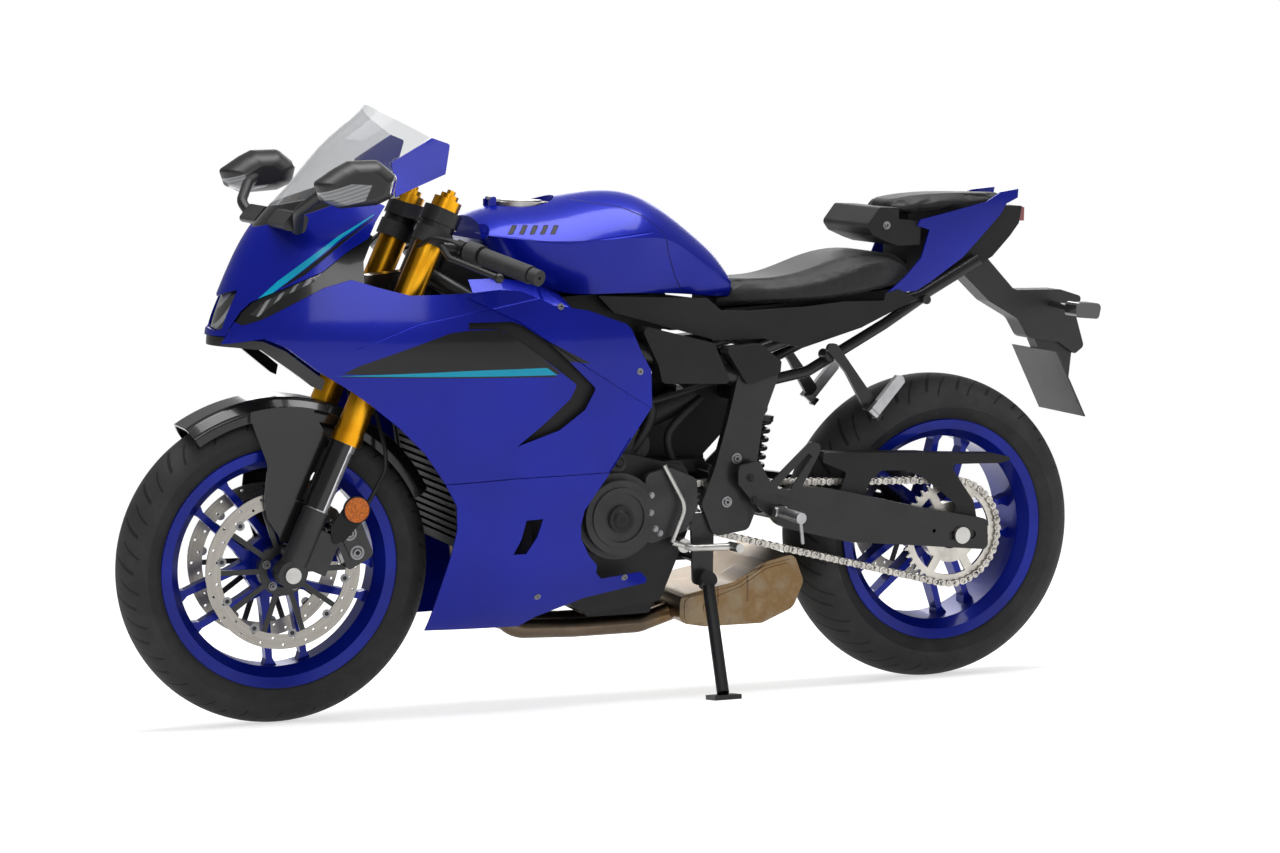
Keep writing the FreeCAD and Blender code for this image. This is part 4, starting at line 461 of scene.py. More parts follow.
def seat_cover():
    """Black grained vinyl."""
    f = Finish("seat_vinyl")
    grain = f.cells(620.0, "SMOOTH_F1")
    soft = f.noise(60.0)
    shade = f.mix(soft.ramp(0.3, 0.75), grey(0.013), grey(0.022))
    return f.set(Base_Color=shade, Roughness=soft * 0.14 + 0.46, Specular_IOR_Level=0.3, Sheen_Weight=0.1,
                 Normal=f.bump(grain + soft * 0.6, 0.0003, 0.45))


def turned_marks(f, along, scale):
    """Fine marks that a lathe leaves round a tube."""
    return f.noise(1.0, 3.0, 0.6, at=f.vector(along * scale, 0.0, 0.0))


def gold_alloy():
    """Gold anodising with fine turned marks round the tubes."""
    f = Finish("gold_anodised")
    x, _, z = f.bike()
    marks = turned_marks(f, x * -math.sin(RAKE) + z * math.cos(RAKE), 2400.0)
    shade = f.patches(f.noise(18.0), (0.86, 0.42, 0.02), (0.70, 0.30, 0.01))
    return f.set(Base_Color=shade, Metallic=1.0, Roughness=marks * 0.12 + 0.24,
                 Normal=f.bump(marks, 0.00002, 0.5))


TUBE_FOOT = 0.128


def painted_fork():
    """Satin black casting below the hard chrome of the stanchions; the chrome is only partly metallic, so
    its light grey is a painted reflection.
    """
    f = Finish("fork_leg")
    x, _, z = f.bike()
    along = (x - FRONT_AXLE[0]) * -math.sin(RAKE) + (z - FRONT_AXLE[1]) * math.cos(RAKE)
    tint = f.noise(16.0)
    cast = f.noise(500.0, 2.0)
    marks = turned_marks(f, along, 1800.0)
    tube = along.step(TUBE_FOOT)
    shade = f.mix(tube, f.patches(tint, grey(0.017), grey(0.011)), grey(0.72, 0.02))
    rough = (tint * 0.14 + 0.34) * (1.0 - tube) + tube * 0.22
    # Metallic stays at 0.6 on the chrome, so its light grey base is lit as diffuse colour: a painted
    # reflection of bright surroundings.
    return f.set(Base_Color=shade, Metallic=tube * 0.6, Roughness=rough,
                 Normal=f.bump(cast * (1.0 - tube) + marks * tube * 0.2, 0.00006, 0.5))


HEAT_TINTS = ((0.25, (0.25, 0.19, 0.12)), (0.45, (0.17, 0.105, 0.050)), (0.6, (0.22, 0.17, 0.11)),
              (0.78, (0.085, 0.055, 0.035)))
BOX_WELDS = (((0.612, 0.207), (0.548, 0.220), (0.483, 0.240), (0.429, 0.262), (0.396, 0.286)),
             ((0.520, 0.252), (0.519, 0.196)), ((0.456, 0.272), (0.455, 0.198)))


def exhaust_steel():
    """Stainless steel with straw and brown heat tints, and weld beads on the left of the box."""
    f = Finish("exhaust_steel")
    x, y, z = f.bike()
    heat = f.noise(9.0, 4.0, 0.65)
    fine = f.noise(240.0)
    tint = f.node("ShaderNodeValToRGB", {"stops": HEAT_TINTS}, {"Fac": heat})
    pipe = x.ramp(0.60, 0.66)
    bead = reduce(or_, [stroke(x, z, weld, 0.0016, 0.0012) for weld in BOX_WELDS]) * y.ramp(0.02, 0.03)
    shade = f.mix(pipe * 0.6, tint, (0.10, 0.085, 0.075))
    shade = f.mix(bead * 0.7, shade, (0.07, 0.045, 0.03))
    return f.set(Base_Color=shade, Metallic=1.0, Roughness=heat * 0.2 + 0.24,
                 Normal=f.bump(fine * 0.06 + bead, 0.0012, 0.5))


def radiator_core():
    f = Finish("radiator_core")
    fins = (f.bike()[1] * 2600.0).sin() * 0.5 + 0.5
    shade = f.mix(fins, grey(0.012, 0.0), grey(0.045, 0.002))
    return f.set(Base_Color=shade, Metallic=0.6, Roughness=fins * 0.1 + 0.45,
                 Normal=f.bump(fins, 0.0006, 0.6))


SCREEN_FRONT, SCREEN_FOOT, SCREEN_RISE = 1.41, 0.975, 0.26


def clear_screen():
    """Clear acrylic with a faint smoke and scuffs, black along its foot."""
    f = Finish("clear_acrylic")
    x, _, z = f.bike()
    scuff = f.noise(90.0, 4.0, 0.6)
    wave = f.noise(6.0, 1.0)
    rim = f.node("ShaderNodeLayerWeight", {}, {"Blend": 0.35}, out="Facing")
    foot = 1.0 - (z - (SCREEN_FOOT + (SCREEN_FRONT - x) * SCREEN_RISE)).step(0.0, 0.001)
    f.set(Base_Color=f.mix(foot, (0.50, 0.51, 0.52), grey(0.010)), Roughness=scuff * 0.06 + 0.02,
          Coat_Weight=0.5, Normal=f.bump(wave, 0.0004, 0.2))
    clear = f.node("ShaderNodeBsdfTransparent", {}, {"Color": (0.90, 0.905, 0.91)})
    share = (rim * 0.30 + 0.06 + scuff * 0.03 + foot).clamp()
    whole = f.node("ShaderNodeMixShader", {}, {0: share, 1: clear, 2: Wire(f.tree, f.shader.outputs[0])})
    connect(f.tree, f.tree.nodes["Material Output"].inputs["Surface"], whole)
    return f.material


def lamp_lens():
    """Smoked lamp cover with ribs that show under it."""
    f = Finish("lamp_lens")
    x, _, z = f.bike()
    ribs = (x * 420.0 + z * 260.0).sin() * 0.5 + 0.5
    haze = f.noise(40.0, 2.0)
    shade = f.mix(ribs.ramp(0.5, 0.9), grey(0.02, 0.002), (0.28, 0.29, 0.30))
    return f.set(Base_Color=shade, Roughness=haze * 0.06 + 0.05, Coat_Weight=1.0, Coat_Roughness=0.01,
                 Normal=f.bump(ribs, 0.0006, 0.4))


RED_LENS_FOOT = 0.9025


def red_lens():
    """Red tail lens over the black arms of the turn signals."""
    f = Finish("red_lens")
    lens = f.bike()[2].step(RED_LENS_FOOT, 0.0025)
    cells = f.cells(260.0)
    return f.set(Base_Color=f.mix(lens, grey(0.014), (0.30, 0.005, 0.007)), Roughness=cells * 0.1 + 0.08,
                 Coat_Weight=1.0, Normal=f.bump(cells, 0.0005, 0.4))


PLATE_FOOT, PLATE_TOP, PLATE_LEAN = 0.540, 0.676, 0.5294
PLATE_REAR, PLATE_FRONT, PLATE_HALF = -0.323, -0.316, 0.089


def plate_and_arm():
    """Grained arm with the blank licence plate in satin grey."""
    f = Finish("plate_and_arm")
    x, y, z = f.bike()
    grain = f.cells(900.0, "SMOOTH_F1")
    tint = f.noise(10.0)
    arm = f.patches(tint, grey(0.016), grey(0.011))
    plate = f.patches(tint, grey(0.105, 0.005), grey(0.090, 0.005))
    through = x - (z - PLATE_FOOT) * PLATE_LEAN
    share = through.step(PLATE_REAR) * (1.0 - through.step(PLATE_FRONT)) * (1.0 - z.step(PLATE_TOP, 0.001))
    share = share * (1.0 - abs(y).step(PLATE_HALF) * 0.8)
    return f.set(Base_Color=f.mix(share, arm, plate), Roughness=tint * 0.10 + 0.42,
                 Normal=f.bump(grain, 0.00012, 0.4))


MIRROR_LAMP = ((1.357, 1.030), (1.320, 1.028), (1.333, 1.000), (1.376, 0.990), (1.396, 0.996),
               (1.410, 1.013))
MIRROR_LAMP_INNER = 0.264
MIRROR_GLASS_FOOT, MIRROR_GLASS_TOP, MIRROR_GLASS_INNER = 1.005, 1.047, 0.287


def mirror_housing():
    """Matt black shell with a clear lamp on its outer front, and the glass that faces the rider."""
    f = Finish("mirror_housing")
    x, y, z = f.bike()
    normal_x = f.parts(f.node("ShaderNodeNewGeometry", out="True Normal"))[0]
    glass = (normal_x * -1.0).ramp(0.55, 0.62) * abs(y).step(MIRROR_GLASS_INNER, 0.001)
    glass = glass * z.step(MIRROR_GLASS_FOOT, 0.001) * (1.0 - z.step(MIRROR_GLASS_TOP, 0.001))
    lamp = inside(x, z, MIRROR_LAMP) * abs(y).step(MIRROR_LAMP_INNER, 0.002) * (1.0 - glass)
    ribs = (z * 900.0 + x * 300.0).sin() * 0.5 + 0.5
    tint = f.noise(7.0, 2.0)
    shade = f.patches(tint, grey(0.012), grey(0.009))
    shade = f.mix(lamp, shade, f.mix(ribs, (0.15, 0.155, 0.16), (0.30, 0.31, 0.32)))
    shade = f.mix(glass, shade, (0.78, 0.80, 0.82))
    rough = (tint * 0.08 + 0.38) * (1.0 - glass) * (1.0 - lamp * 0.7) + glass * 0.02
    return f.set(Base_Color=shade, Metallic=glass, Roughness=rough, Coat_Weight=lamp, Coat_Roughness=0.05,
                 Normal=f.bump(ribs * lamp, 0.0004, 0.5))


def brake_disc(name, axle, carrier):
    """Ground steel ring with rings from the pads, on a black carrier of the given radius."""
    f = Finish(name)
    radius, _, y = f.wheel(axle)
    rings = f.noise(1.0, 4.0, 0.7, at=f.vector(radius * 2600.0, y * 10.0, 0.0))
    stain = f.noise(30.0)
    steel = f.patches(rings, (0.42, 0.40, 0.365), (0.24, 0.225, 0.20))
    steel = f.mix(stain.ramp(0.5, 0.8) * 0.3, steel, (0.24, 0.20, 0.165))
    ring = radius.step(carrier)
    return f.set(Base_Color=f.mix(ring, grey(0.012), steel), Metallic=ring * 0.9 + 0.1,
                 Roughness=rings * 0.16 + 0.24, Normal=f.bump(rings * ring, 0.00004, 0.6))


def reflector(name, color, centre, radius):
    """Moulded reflector with small prisms, on its black bracket."""
    f = Finish(name)
    x, _, z = f.bike()
    dx, dz = x - centre[0], z - centre[1]
    lens = 1.0 - (dx * dx + dz * dz).root().step(radius, 0.0004)
    prisms = f.cells(380.0)
    shade = f.mix(prisms.ramp(0.2, 0.7), color, times(color, 0.55))
    return f.set(Base_Color=f.mix(lens, grey(0.012), shade), Coat_Weight=lens * 0.3, Specular_IOR_Level=0.2,
                 Roughness=((prisms * 0.15 + 0.08) * lens + (1.0 - lens) * 0.4),
                 Normal=f.bump(prisms * lens, 0.0008, 0.6))


def rubber_grip():
    f = Finish("grip_rubber")
    soft = f.noise(30.0)
    shade = f.patches(soft, grey(0.016), grey(0.030))
    return f.set(Base_Color=shade, Roughness=soft * 0.15 + 0.55, Normal=f.bump(f.cells(420.0), 0.0008, 0.5))


FINISHES = {
    "frame_black": satin("frame_black_paint", grey(0.015), coat=0.2),
    "engine_black": satin("engine_black_paint", grey(0.016), 0.48, depth=0.0001),
    "cover_grey": satin("cover_grey_paint", grey(0.050, 0.002), metallic=0.3),
    "radiator_black": radiator_core(),
    "exhaust_steel": exhaust_steel(),
    "bare_steel": metal("plated_steel", (0.52, 0.51, 0.49), 0.32),
    "bolt_steel": metal("bolt_steel", grey(0.26, 0.01), 0.36, depth=0.00002),
    "chain_steel": metal("chain_steel", (0.60, 0.57, 0.52), 0.34, scale=500.0),
    "black_plastic": grained("black_moulding", grey(0.016)),
    "spring_black": satin("spring_black_paint", grey(0.018, 0.0), 0.35),
    "blue_paint": metallic_paint("blue_metallic_paint"),
    "seat_cover": seat_cover(),
    "lamp_red": red_lens(),
    "lamp_lens": lamp_lens(),
    "clear_screen": clear_screen(),
    "gold_alloy": gold_alloy(),
    "grip_black": rubber_grip(),
    "caliper_black": satin("caliper_black_paint", grey(0.020), 0.34, coat=0.4),
    "blue_wheel": wheel_paint(),
    "amber_reflector": reflector("amber_reflector", (0.95, 0.22, 0.0), (1.272, 0.417), 0.0235),
    "hose_black": grained("hose_rubber", grey(0.016), 0.5, 500.0, 0.0004),
    "peg_alloy": metal("cast_alloy", grey(0.45, 0.01), 0.38, scale=160.0, depth=0.0001),
}
OWN = {
    "side_fairings": metallic_paint("fairing_paint", fairing_graphics),
    "nose_cowl": metallic_paint("nose_paint", nose_graphics),
    "fuel_tank": metallic_paint("tank_paint", tank_graphics),
    "front_tyre": tyre_rubber("front_tyre_rubber", FRONT_AXLE, FRONT_AXLE[1], 0.059, 26),
    "rear_tyre": tyre_rubber("rear_tyre_rubber", REAR_AXLE, REAR_AXLE[1], TYRE_HALF, 26),
    "front_discs": brake_disc("front_disc_steel", FRONT_AXLE, FRONT_CARRIER),
    "rear_disc": brake_disc("rear_disc_steel", REAR_AXLE, REAR_CARRIER),
    "fork_legs": painted_fork(),
    "plate_holder": plate_and_arm(),
    "front_fender": gloss("fender_gloss_black", grey(0.010)),
    "mirrors": mirror_housing(),
    "nose_trim": gloss("trim_gloss_black", grey(0.010)),
    "instrument_panel": gloss("dash_gloss_black", grey(0.012)),
}


def finish_nodes():
    """Gives each CAD node its own finish, or else the finish of its slot."""
    slots = {part["node"]: part["material_slot"] for part in frame["record"]["subparts"]}
    for name, obj in nodes.items():
        obj.data.materials.clear()
        obj.data.materials.append(OWN.get(name) or FINISHES[slots[name]])


finish_nodes()


# Meshes and where they sit

def upright(x, y, z):
    """Millimetres of the upright bike, as metres."""
    return Vector((x, y, z)) * 0.001


def stand_piece(name, mesh, body, material=None, smooth=True):
    """A finished mesh of the upright bike, leaned into the row frame and carried by a body."""
    mesh.transform(TO_ROW)
    if material:
        mesh.materials.clear()
        mesh.materials.append(material)
    if smooth:
        mesh.shade_smooth()
    else:
        mesh.shade_flat()
    obj = linked(name, mesh)
    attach(obj, body)
    return obj


def ray_tree(points, mesh):
    return BVHTree.FromPolygons(points, [tuple(p.vertices) for p in mesh.polygons])


@cache
def upright_tree(node):
    """Ray tree of a CAD node, stood upright."""
    stand = TO_ROW.inverted()
    mesh = nodes[node].data
    return ray_tree([stand @ v.co for v in mesh.vertices], mesh)


def tube_mesh(name, points, radius, rounding=2):
    """Smooth hose through a few points in millimetres."""
    curve = bpy.data.curves.new(name, "CURVE")
    curve.dimensions = "3D"
    spline = curve.splines.new("NURBS")
    spline.points.add(len(points) - 1)
    for place, point in zip(spline.points, points):
        place.co = (*upright(*point), 1.0)
    spline.order_u = 3
    spline.use_endpoint_u = True
    spline.resolution_u = 6
    curve.bevel_depth = radius * 0.001
    curve.bevel_resolution = rounding
    curve.use_fill_caps = True
    return plain_mesh(linked(name, curve))


def skinned(name, loops):
    """Closed body through loops of points in millimetres, with a face over each end."""
    bm = bmesh.new()
    rings = [[bm.verts.new(upright(*point)) for point in loop] for loop in loops]
    for ring, after in zip(rings, rings[1:]):
        for i in range(len(ring)):
            bm.faces.new((ring[i - 1], after[i - 1], after[i], ring[i]))
    bm.faces.new(rings[0])
    bm.faces.new(rings[-1])
    bmesh.ops.recalc_face_normals(bm, faces=bm.faces)
    mesh = bpy.data.meshes.new(name)
    bm.to_mesh(mesh)
    bm.free()
    return mesh


# Geometry Nodes

class Shape:
    """A Geometry Nodes tree under construction, with named sizes."""

    def __init__(self, name, **sizes):
        self.tree = bpy.data.node_groups.new(name, "GeometryNodeTree")
        face = self.tree.interface
        face.new_socket("Geometry", in_out="INPUT", socket_type="NodeSocketGeometry")
        self.keys = {}
        for label, value in sizes.items():
            item = face.new_socket(label, in_out="INPUT", socket_type="NodeSocketFloat")
            item.default_value = value
            self.keys[label] = item.identifier
        face.new_socket("Geometry", in_out="OUTPUT", socket_type="NodeSocketGeometry")
        self.source = self.tree.nodes.new("NodeGroupInput")
        self.sink = self.tree.nodes.new("NodeGroupOutput")

    def add(self, kind, inputs, settings=None):
        return make_node(self.tree, kind, settings, inputs)

    def size(self, label):
        return Wire(self.tree, self.source.outputs[label])

    def attribute(self, label, kind="FLOAT"):
        return self.add("GeometryNodeInputNamedAttribute", {"Name": label}, {"data_type": kind})

    def moved(self, geometry, x=0.0, z=0.0):
        shift = self.add("ShaderNodeCombineXYZ", {"X": x, "Z": z})
        return self.add("GeometryNodeTransform", {"Geometry": geometry, "Translation": shift})

    def coated(self, geometry, material):
        return self.add("GeometryNodeSetMaterial", {"Geometry": geometry, "Material": material})

    def cylinder(self, sides, radius, depth, material, lift=0.0):
        body = self.add("GeometryNodeMeshCylinder", {"Vertices": sides, "Radius": radius, "Depth": depth})
        return self.coated(self.moved(body, z=lift), material)

    def cone(self, sides, low, high, depth, material, lift=0.0):
        body = self.add("GeometryNodeMeshCone", {"Vertices": sides, "Radius Bottom": low, "Radius Top": high,
                                                 "Depth": depth})
        return self.coated(self.moved(body, z=lift), material)

    def join(self, *parts):
        whole = self.add("GeometryNodeJoinGeometry", {0: parts[0]})
        for part in parts[1:]:
            self.tree.links.new(part.socket, whole.socket.node.inputs[0])
        return whole

    def repeat(self, part, only=None):
        """The part at each point, turned and sized as the point's attributes say."""
        inputs = {"Points": self.size("Geometry"), "Instance": part, "Scale": self.attribute("size"),
                  "Rotation": self.attribute("turn", "FLOAT_VECTOR")}
        if only is not None:
            inputs["Selection"] = self.add("FunctionNodeCompare",
                                           {0: self.attribute("kind"), 1: float(only), "Epsilon": 0.1},
                                           {"data_type": "FLOAT", "operation": "EQUAL"})
        return self.add("GeometryNodeInstanceOnPoints", inputs)

    def end(self, geometry):
        whole = self.add("GeometryNodeRealizeInstances", {"Geometry": geometry})
        self.tree.links.new(whole.socket, self.sink.inputs[0])
        return self

    def bake(self, name, places, body, slot, **sizes):
        """Runs the tree on places, each a point, a turn, a size and a kind, and keeps a plain mesh."""
        mesh = bpy.data.meshes.new(name)
        mesh.from_pydata([tuple(place[0]) for place in places], [], [])
        turns = mesh.attributes.new("turn", "FLOAT_VECTOR", "POINT")
        turns.data.foreach_set("vector", [v for place in places for v in place[1]])
        for column, label in ((2, "size"), (3, "kind")):
            values = mesh.attributes.new(label, "FLOAT", "POINT")
            values.data.foreach_set("value", [place[column] for place in places])
        carrier = linked(name + "_points", mesh)
        modifier = carrier.modifiers.new("shape", "NODES")
        modifier.node_group = self.tree
        for label, value in sizes.items():
            modifier[self.keys[label]] = value
        return stand_piece(name, plain_mesh(carrier), body, smooth=False)


# Bolts, plugs and buttons

def bolt_shape(name, steel):
    """Button head over a washer, with a black hexagon on it as painted shade for its socket."""
    shape = Shape(name, Radius=0.005, Height=0.003)
    radius, height = map(shape.size, shape.keys)
    washer = shape.cylinder(20, radius * 1.35, height * 0.5, steel, height * 0.1)
    head = shape.cone(20, radius, radius * 0.72, height, steel, height * 0.3)
    # A black hexagon disc stands for the recess of the socket: painted shade.
    socket = shape.cylinder(6, radius * 0.45, height * 0.2, FINISHES["hose_black"], height * 1.24)
    return shape.end(shape.repeat(shape.join(washer, head, socket)))


def hexagon_shape():
    """Flanged hexagon head."""
    shape = Shape("hexagon_bolt", Radius=0.006, Height=0.005)
    radius, height = map(shape.size, shape.keys)
    flange = shape.cylinder(20, radius * 1.3, height * 0.4, FINISHES["bolt_steel"], height * 0.1)
    head = shape.cylinder(6, radius, height, FINISHES["bolt_steel"], height * 0.6)
    return shape.end(shape.repeat(shape.join(flange, head)))


def button_shape():
    """Floating button between a disc and its carrier, with a black core as painted shade in its hollow
    middle.
    """
    shape = Shape("disc_button", Radius=0.008, Height=0.003)
    radius, height = map(shape.size, shape.keys)
    ring = shape.cylinder(20, radius, height, FINISHES["bolt_steel"])
    # The black core is painted shade for the hollow middle of the button.
    core = shape.cylinder(12, radius * 0.5, height * 0.4, FINISHES["frame_black"], height * 0.5)
    return shape.end(shape.repeat(shape.join(ring, core)))


def facing(direction):
    """Turn that carries +Z to a direction."""
    return direction.to_track_quat("Z", "Y").to_euler()


OUTSIDE = 600


def placed(node, sides, size, spots):
    """Bolt places on a node's outer sides, from x and z in millimetres."""
    places = []
    for side in sides:
        for x, z in spots:
            start = upright(x, side * OUTSIDE, z)
            point, normal = upright_tree(node).ray_cast(start, Vector((0, -side, 0)))[:2]
            if point is not None:
                places.append((point, facing(-normal if normal.y * side < 0 else normal), size, 0))
    return places


LEFT, BOTH = (1,), (1, -1)
COVER_SPOTS = [on_circle(603, 398, 78, 0.3 + 0.9 * i) for i in range(7)]
COVER_SPOTS += [(705, 505), (686, 390), (787, 306), (699, 311), (658, 346)]

# Name, head, body, radius and height, then where: node, sides, size, and x and z in millimetres.
FASTENERS = (
    ("fairing_bolts", "bright", "chassis", 0.0048, 0.0024,
     [("side_fairings", BOTH, 1.0, [(743, 672), (905, 797)]),
      ("lower_fairings", BOTH, 1.0, [(916, 237), (738, 266)])]),
    ("fender_bolts", "bright", "steering", 0.0052, 0.0026,
     [("front_fender", BOTH, 0.8, [(1349, 404), (1363, 372)])]),
    ("cover_bolts", "hexagon", "chassis", 0.0055, 0.005, [("engine_covers", LEFT, 0.9, COVER_SPOTS)]),
    ("cover_plugs", "black", "chassis", 0.019, 0.005,
     [("engine_covers", LEFT, 1.0, [(749, 380)]), ("engine_covers", LEFT, 0.5, [(738, 485)])]),
    ("frame_bolts", "bright", "chassis", 0.008, 0.004,
     [("frame", BOTH, 1.0, [(499, 487), (384, 617), (518, 402), (340, 640)])]),
    ("hanger_bolts", "black", "chassis", 0.0062, 0.004,
     [("foot_hangers", BOTH, 1.0, [(480, 451), (471, 407), (487, 353)])]),
    ("seat_lock", "bright", "chassis", 0.006, 0.003, [("under_tail", LEFT, 1.0, [(161, 939)])]),
)
CALIPER_CAPS = ((1.2623, 0.3320), (1.2773, 0.3691))
DISC_BUTTONS = [on_circle(*FRONT_AXLE, FRONT_CARRIER, math.radians(36 * i + 10)) for i in range(10)]
DISC_BOLTS = [on_circle(*FRONT_AXLE, 0.036, math.radians(72 * i + 20)) for i in range(5)]

# Name, head, body, radius and height, then the distance from the middle plane, and x and z in metres.
FRONT_FASTENERS = (
    ("caliper_caps", "bright", "steering", 0.0102, 0.003, 0.1001, CALIPER_CAPS),
    ("disc_buttons", "button", "front_wheel", 0.0085, 0.001, 0.0683, DISC_BUTTONS),
    ("disc_bolts", "bright", "front_wheel", 0.006, 0.004, 0.0700, DISC_BOLTS),
)


def fasteners():
    heads = {"bright": bolt_shape("bright_bolt", FINISHES["bolt_steel"]), "hexagon": hexagon_shape(),
             "button": button_shape(), "black": bolt_shape("black_bolt", FINISHES["engine_black"])}
    for name, head, body, radius, height, groups in FASTENERS:
        places = [place for group in groups for place in placed(*group)]
        heads[head].bake(name, places, body, "bare_steel", Radius=radius, Height=height)
    for side, label in SIDES:
        outward = facing(Vector((0, side, 0)))
        for name, head, body, radius, height, y, spots in FRONT_FASTENERS:
            places = [(Vector((x, side * y, z)), outward, 1.0, 0) for x, z in spots]
            heads[head].bake(name + "_" + label, places, body, "bare_steel", Radius=radius, Height=height)


# Hoses, sheets of painted shade, and what shows behind the panels

HOSES = (
    ("throttle_body", 27, "black_plastic", [(556, 42, 604), (610, 42, 584), (668, 42, 560)]),
    ("breather_hose", 9, "hose_black", [(548, 70, 600), (600, 76, 560), (628, 72, 520), (600, 64, 470)]),
    ("coolant_hose", 12, "hose_black", [(700, 60, 640), (664, 74, 610), (650, 72, 560), (690, 60, 500)]),
    ("fuel_rail", 8, "bare_steel", [(590, 60, 618), (590, 20, 622), (590, -60, 618)]),
    ("loom", 7, "hose_black", [(470, 66, 640), (540, 78, 628), (620, 80, 606), (690, 76, 590)]),
)
SHOULDER_TOP = ((880, 140, 815), (930, 140, 836), (1000, 140, 846), (1062, 140, 844))
SHOULDER_FOOT = ((868, 186, 788), (930, 190, 792), (1000, 192, 796), (1062, 192, 798))
SHOULDER_THICK = 3
# Black sheets in the middle plane: painted shade that fills the gaps where the bike's inside would show.
SHADE_SHEETS = {
    "shade_sheet_engine": ((430, 690), (430, 560), (520, 470), (600, 455), (700, 470), (730, 560), (730, 660),
                    (600, 640)),
    "shade_sheet_seat": ((60, 812), (60, 772), (200, 742), (420, 718), (700, 738), (860, 782), (860, 826),
                  (700, 812), (420, 778), (200, 786)),
    "shade_sheet_head": ((890, 780), (1078, 790), (1085, 850), (1062, 884), (960, 890), (890, 880)),
}
SHEET_HALF = 2
COLLAR_HEIGHTS, COLLAR_RADIUS = (694, 700, 706), 33
FORK_SPREAD = 105
CONTROL_CABLE = ((1070, 190, 898), (1120, 175, 925), (1150, 130, 920), (1160, 90, 880))
CABLE_RADIUS = 3.5


def mirrored(side, points):
    return [(x, side * y, z) for x, y, z in points]


def hoses():
    """Throttle bodies, hoses and wiring between the engine and the air box, on both sides."""
    for side, label in SIDES:
        for name, radius, slot, route in HOSES:
            hose = tube_mesh(name, mirrored(side, route), radius)
            stand_piece(name + "_" + label, hose, "chassis", FINISHES[slot])


def shade_sheets():
    """Black sheets in the middle plane behind the throttle bodies, under the seat and ahead of the tank:
    painted shade where the bike's inside shows through gaps.
    """
    for name, outline in SHADE_SHEETS.items():
        sheet = skinned(name, [[(x, y, z) for x, z in outline] for y in (SHEET_HALF, -SHEET_HALF)])
        stand_piece(name, sheet, "chassis", FINISHES["black_plastic"], smooth=False)


def inward(point):
    return point[0], point[1] - SHOULDER_THICK, point[2]


def shoulder_panels():
    """Painted flanks that rise from the fairing's rim to the tank, behind the bars."""
    for side, label in SIDES:
        sections = [mirrored(side, (top, foot, inward(foot), inward(top)))
                    for top, foot in zip(SHOULDER_TOP, SHOULDER_FOOT)]
        stand_piece("shoulder_panel_" + label, skinned("shoulder_panel", sections), "chassis",
                    FINISHES["blue_paint"], smooth=False)


def fork_place(along, side):
    """Millimetres of the upright bike, from a height along the fork above the wheel axle."""
    x, z = (1000 * part for part in FRONT_AXLE)
    return x - along * math.sin(RAKE), side * FORK_SPREAD, z + along * math.cos(RAKE)


def steering_details():
    """Collars round the fork tubes, and the cables from the controls to the head."""
    for side, label in SIDES:
        places = [fork_place(along, side) for along in COLLAR_HEIGHTS]
        collar = tube_mesh("collar", places, COLLAR_RADIUS, rounding=6)
        stand_piece("fork_collar_" + label, collar, "steering", FINISHES["frame_black"])
        cable = tube_mesh("cable", mirrored(side, CONTROL_CABLE), CABLE_RADIUS)
        stand_piece("control_cable_" + label, cable, "steering", FINISHES["hose_black"])


# Drive chain

PITCH = 15.875
CHAIN_Y = 106.0
SPROCKETS = ((0.0, 315.0, 42), (603.0, 398.0, 16))


def along_line(start, end, share):
    return tuple(a + (b - a) * share for a, b in zip(start, end))


def chain_loop():
    """Pin places along the open belt round both sprockets, from the rear one's top forwards."""
    (x0, z0, n0), (x1, z1, n1) = SPROCKETS
    big, small = (PITCH / (2 * math.sin(math.pi / teeth)) for teeth in (n0, n1))
    span = math.hypot(x1 - x0, z1 - z0)
    tilt = math.atan2(z1 - z0, x1 - x0)
    flare = math.asin((big - small) / span)
    straight = math.sqrt(span ** 2 - (big - small) ** 2)
    up, down = tilt + math.pi / 2 - flare, tilt - math.pi / 2 + flare
    front_arc = small * (math.pi - 2 * flare)
    length = 2 * straight + front_arc + big * (math.pi + 2 * flare)
    links = 2 * round(length / PITCH / 2)
    upper = on_circle(x0, z0, big, up), on_circle(x1, z1, small, up)
    lower = on_circle(x1, z1, small, down), on_circle(x0, z0, big, down)
    pins = []
    for i in range(links):
        s = i * length / links
        if s < straight:
            pins.append(along_line(*upper, s / straight))
        elif s < straight + front_arc:
            pins.append(on_circle(x1, z1, small, up - (s - straight) / small))
        elif s < 2 * straight + front_arc:
            pins.append(along_line(*lower, (s - straight - front_arc) / straight))
        else:
            pins.append(on_circle(x0, z0, big, down - (s - 2 * straight - front_arc) / big))
    return pins


def chain_shape():
    """Inner and outer plates, rollers and riveted pins of a roller chain."""
    shape = Shape("roller_chain", Pitch=0.015875, Plate=0.0070, Waist=0.0046, Thick=0.0024, Inner=0.0112,
                  Roller=0.0050, Pin=0.0026)
    pitch, plate, waist, thick, inner, roller, pin = map(shape.size, shape.keys)
    steel, dark = FINISHES["chain_steel"], FINISHES["bare_steel"]

    def side_plate(offset):
        disc = shape.cylinder(12, plate, thick, steel, offset)
        ends = shape.join(shape.moved(disc, x=pitch * 0.5), shape.moved(disc, x=pitch * -0.5))
        size = shape.add("ShaderNodeCombineXYZ", {"X": pitch, "Y": waist * 2.0, "Z": thick})
        bar = shape.coated(shape.add("GeometryNodeMeshCube", {"Size": size}), steel)
        return shape.join(ends, shape.moved(bar, z=offset))

    near, far = inner * 0.5, inner * 0.5 + thick * 1.15
    inner_link = shape.join(side_plate(near), side_plate(near * -1.0))
    outer_link = shape.join(side_plate(far), side_plate(far * -1.0))
    rolling = shape.join(shape.cylinder(12, roller, inner - thick, dark),
                         shape.cylinder(10, pin, inner + thick * 4.6, dark))
    return shape.end(shape.join(shape.repeat(inner_link, 0), shape.repeat(outer_link, 1),
                                shape.repeat(rolling, 2)))


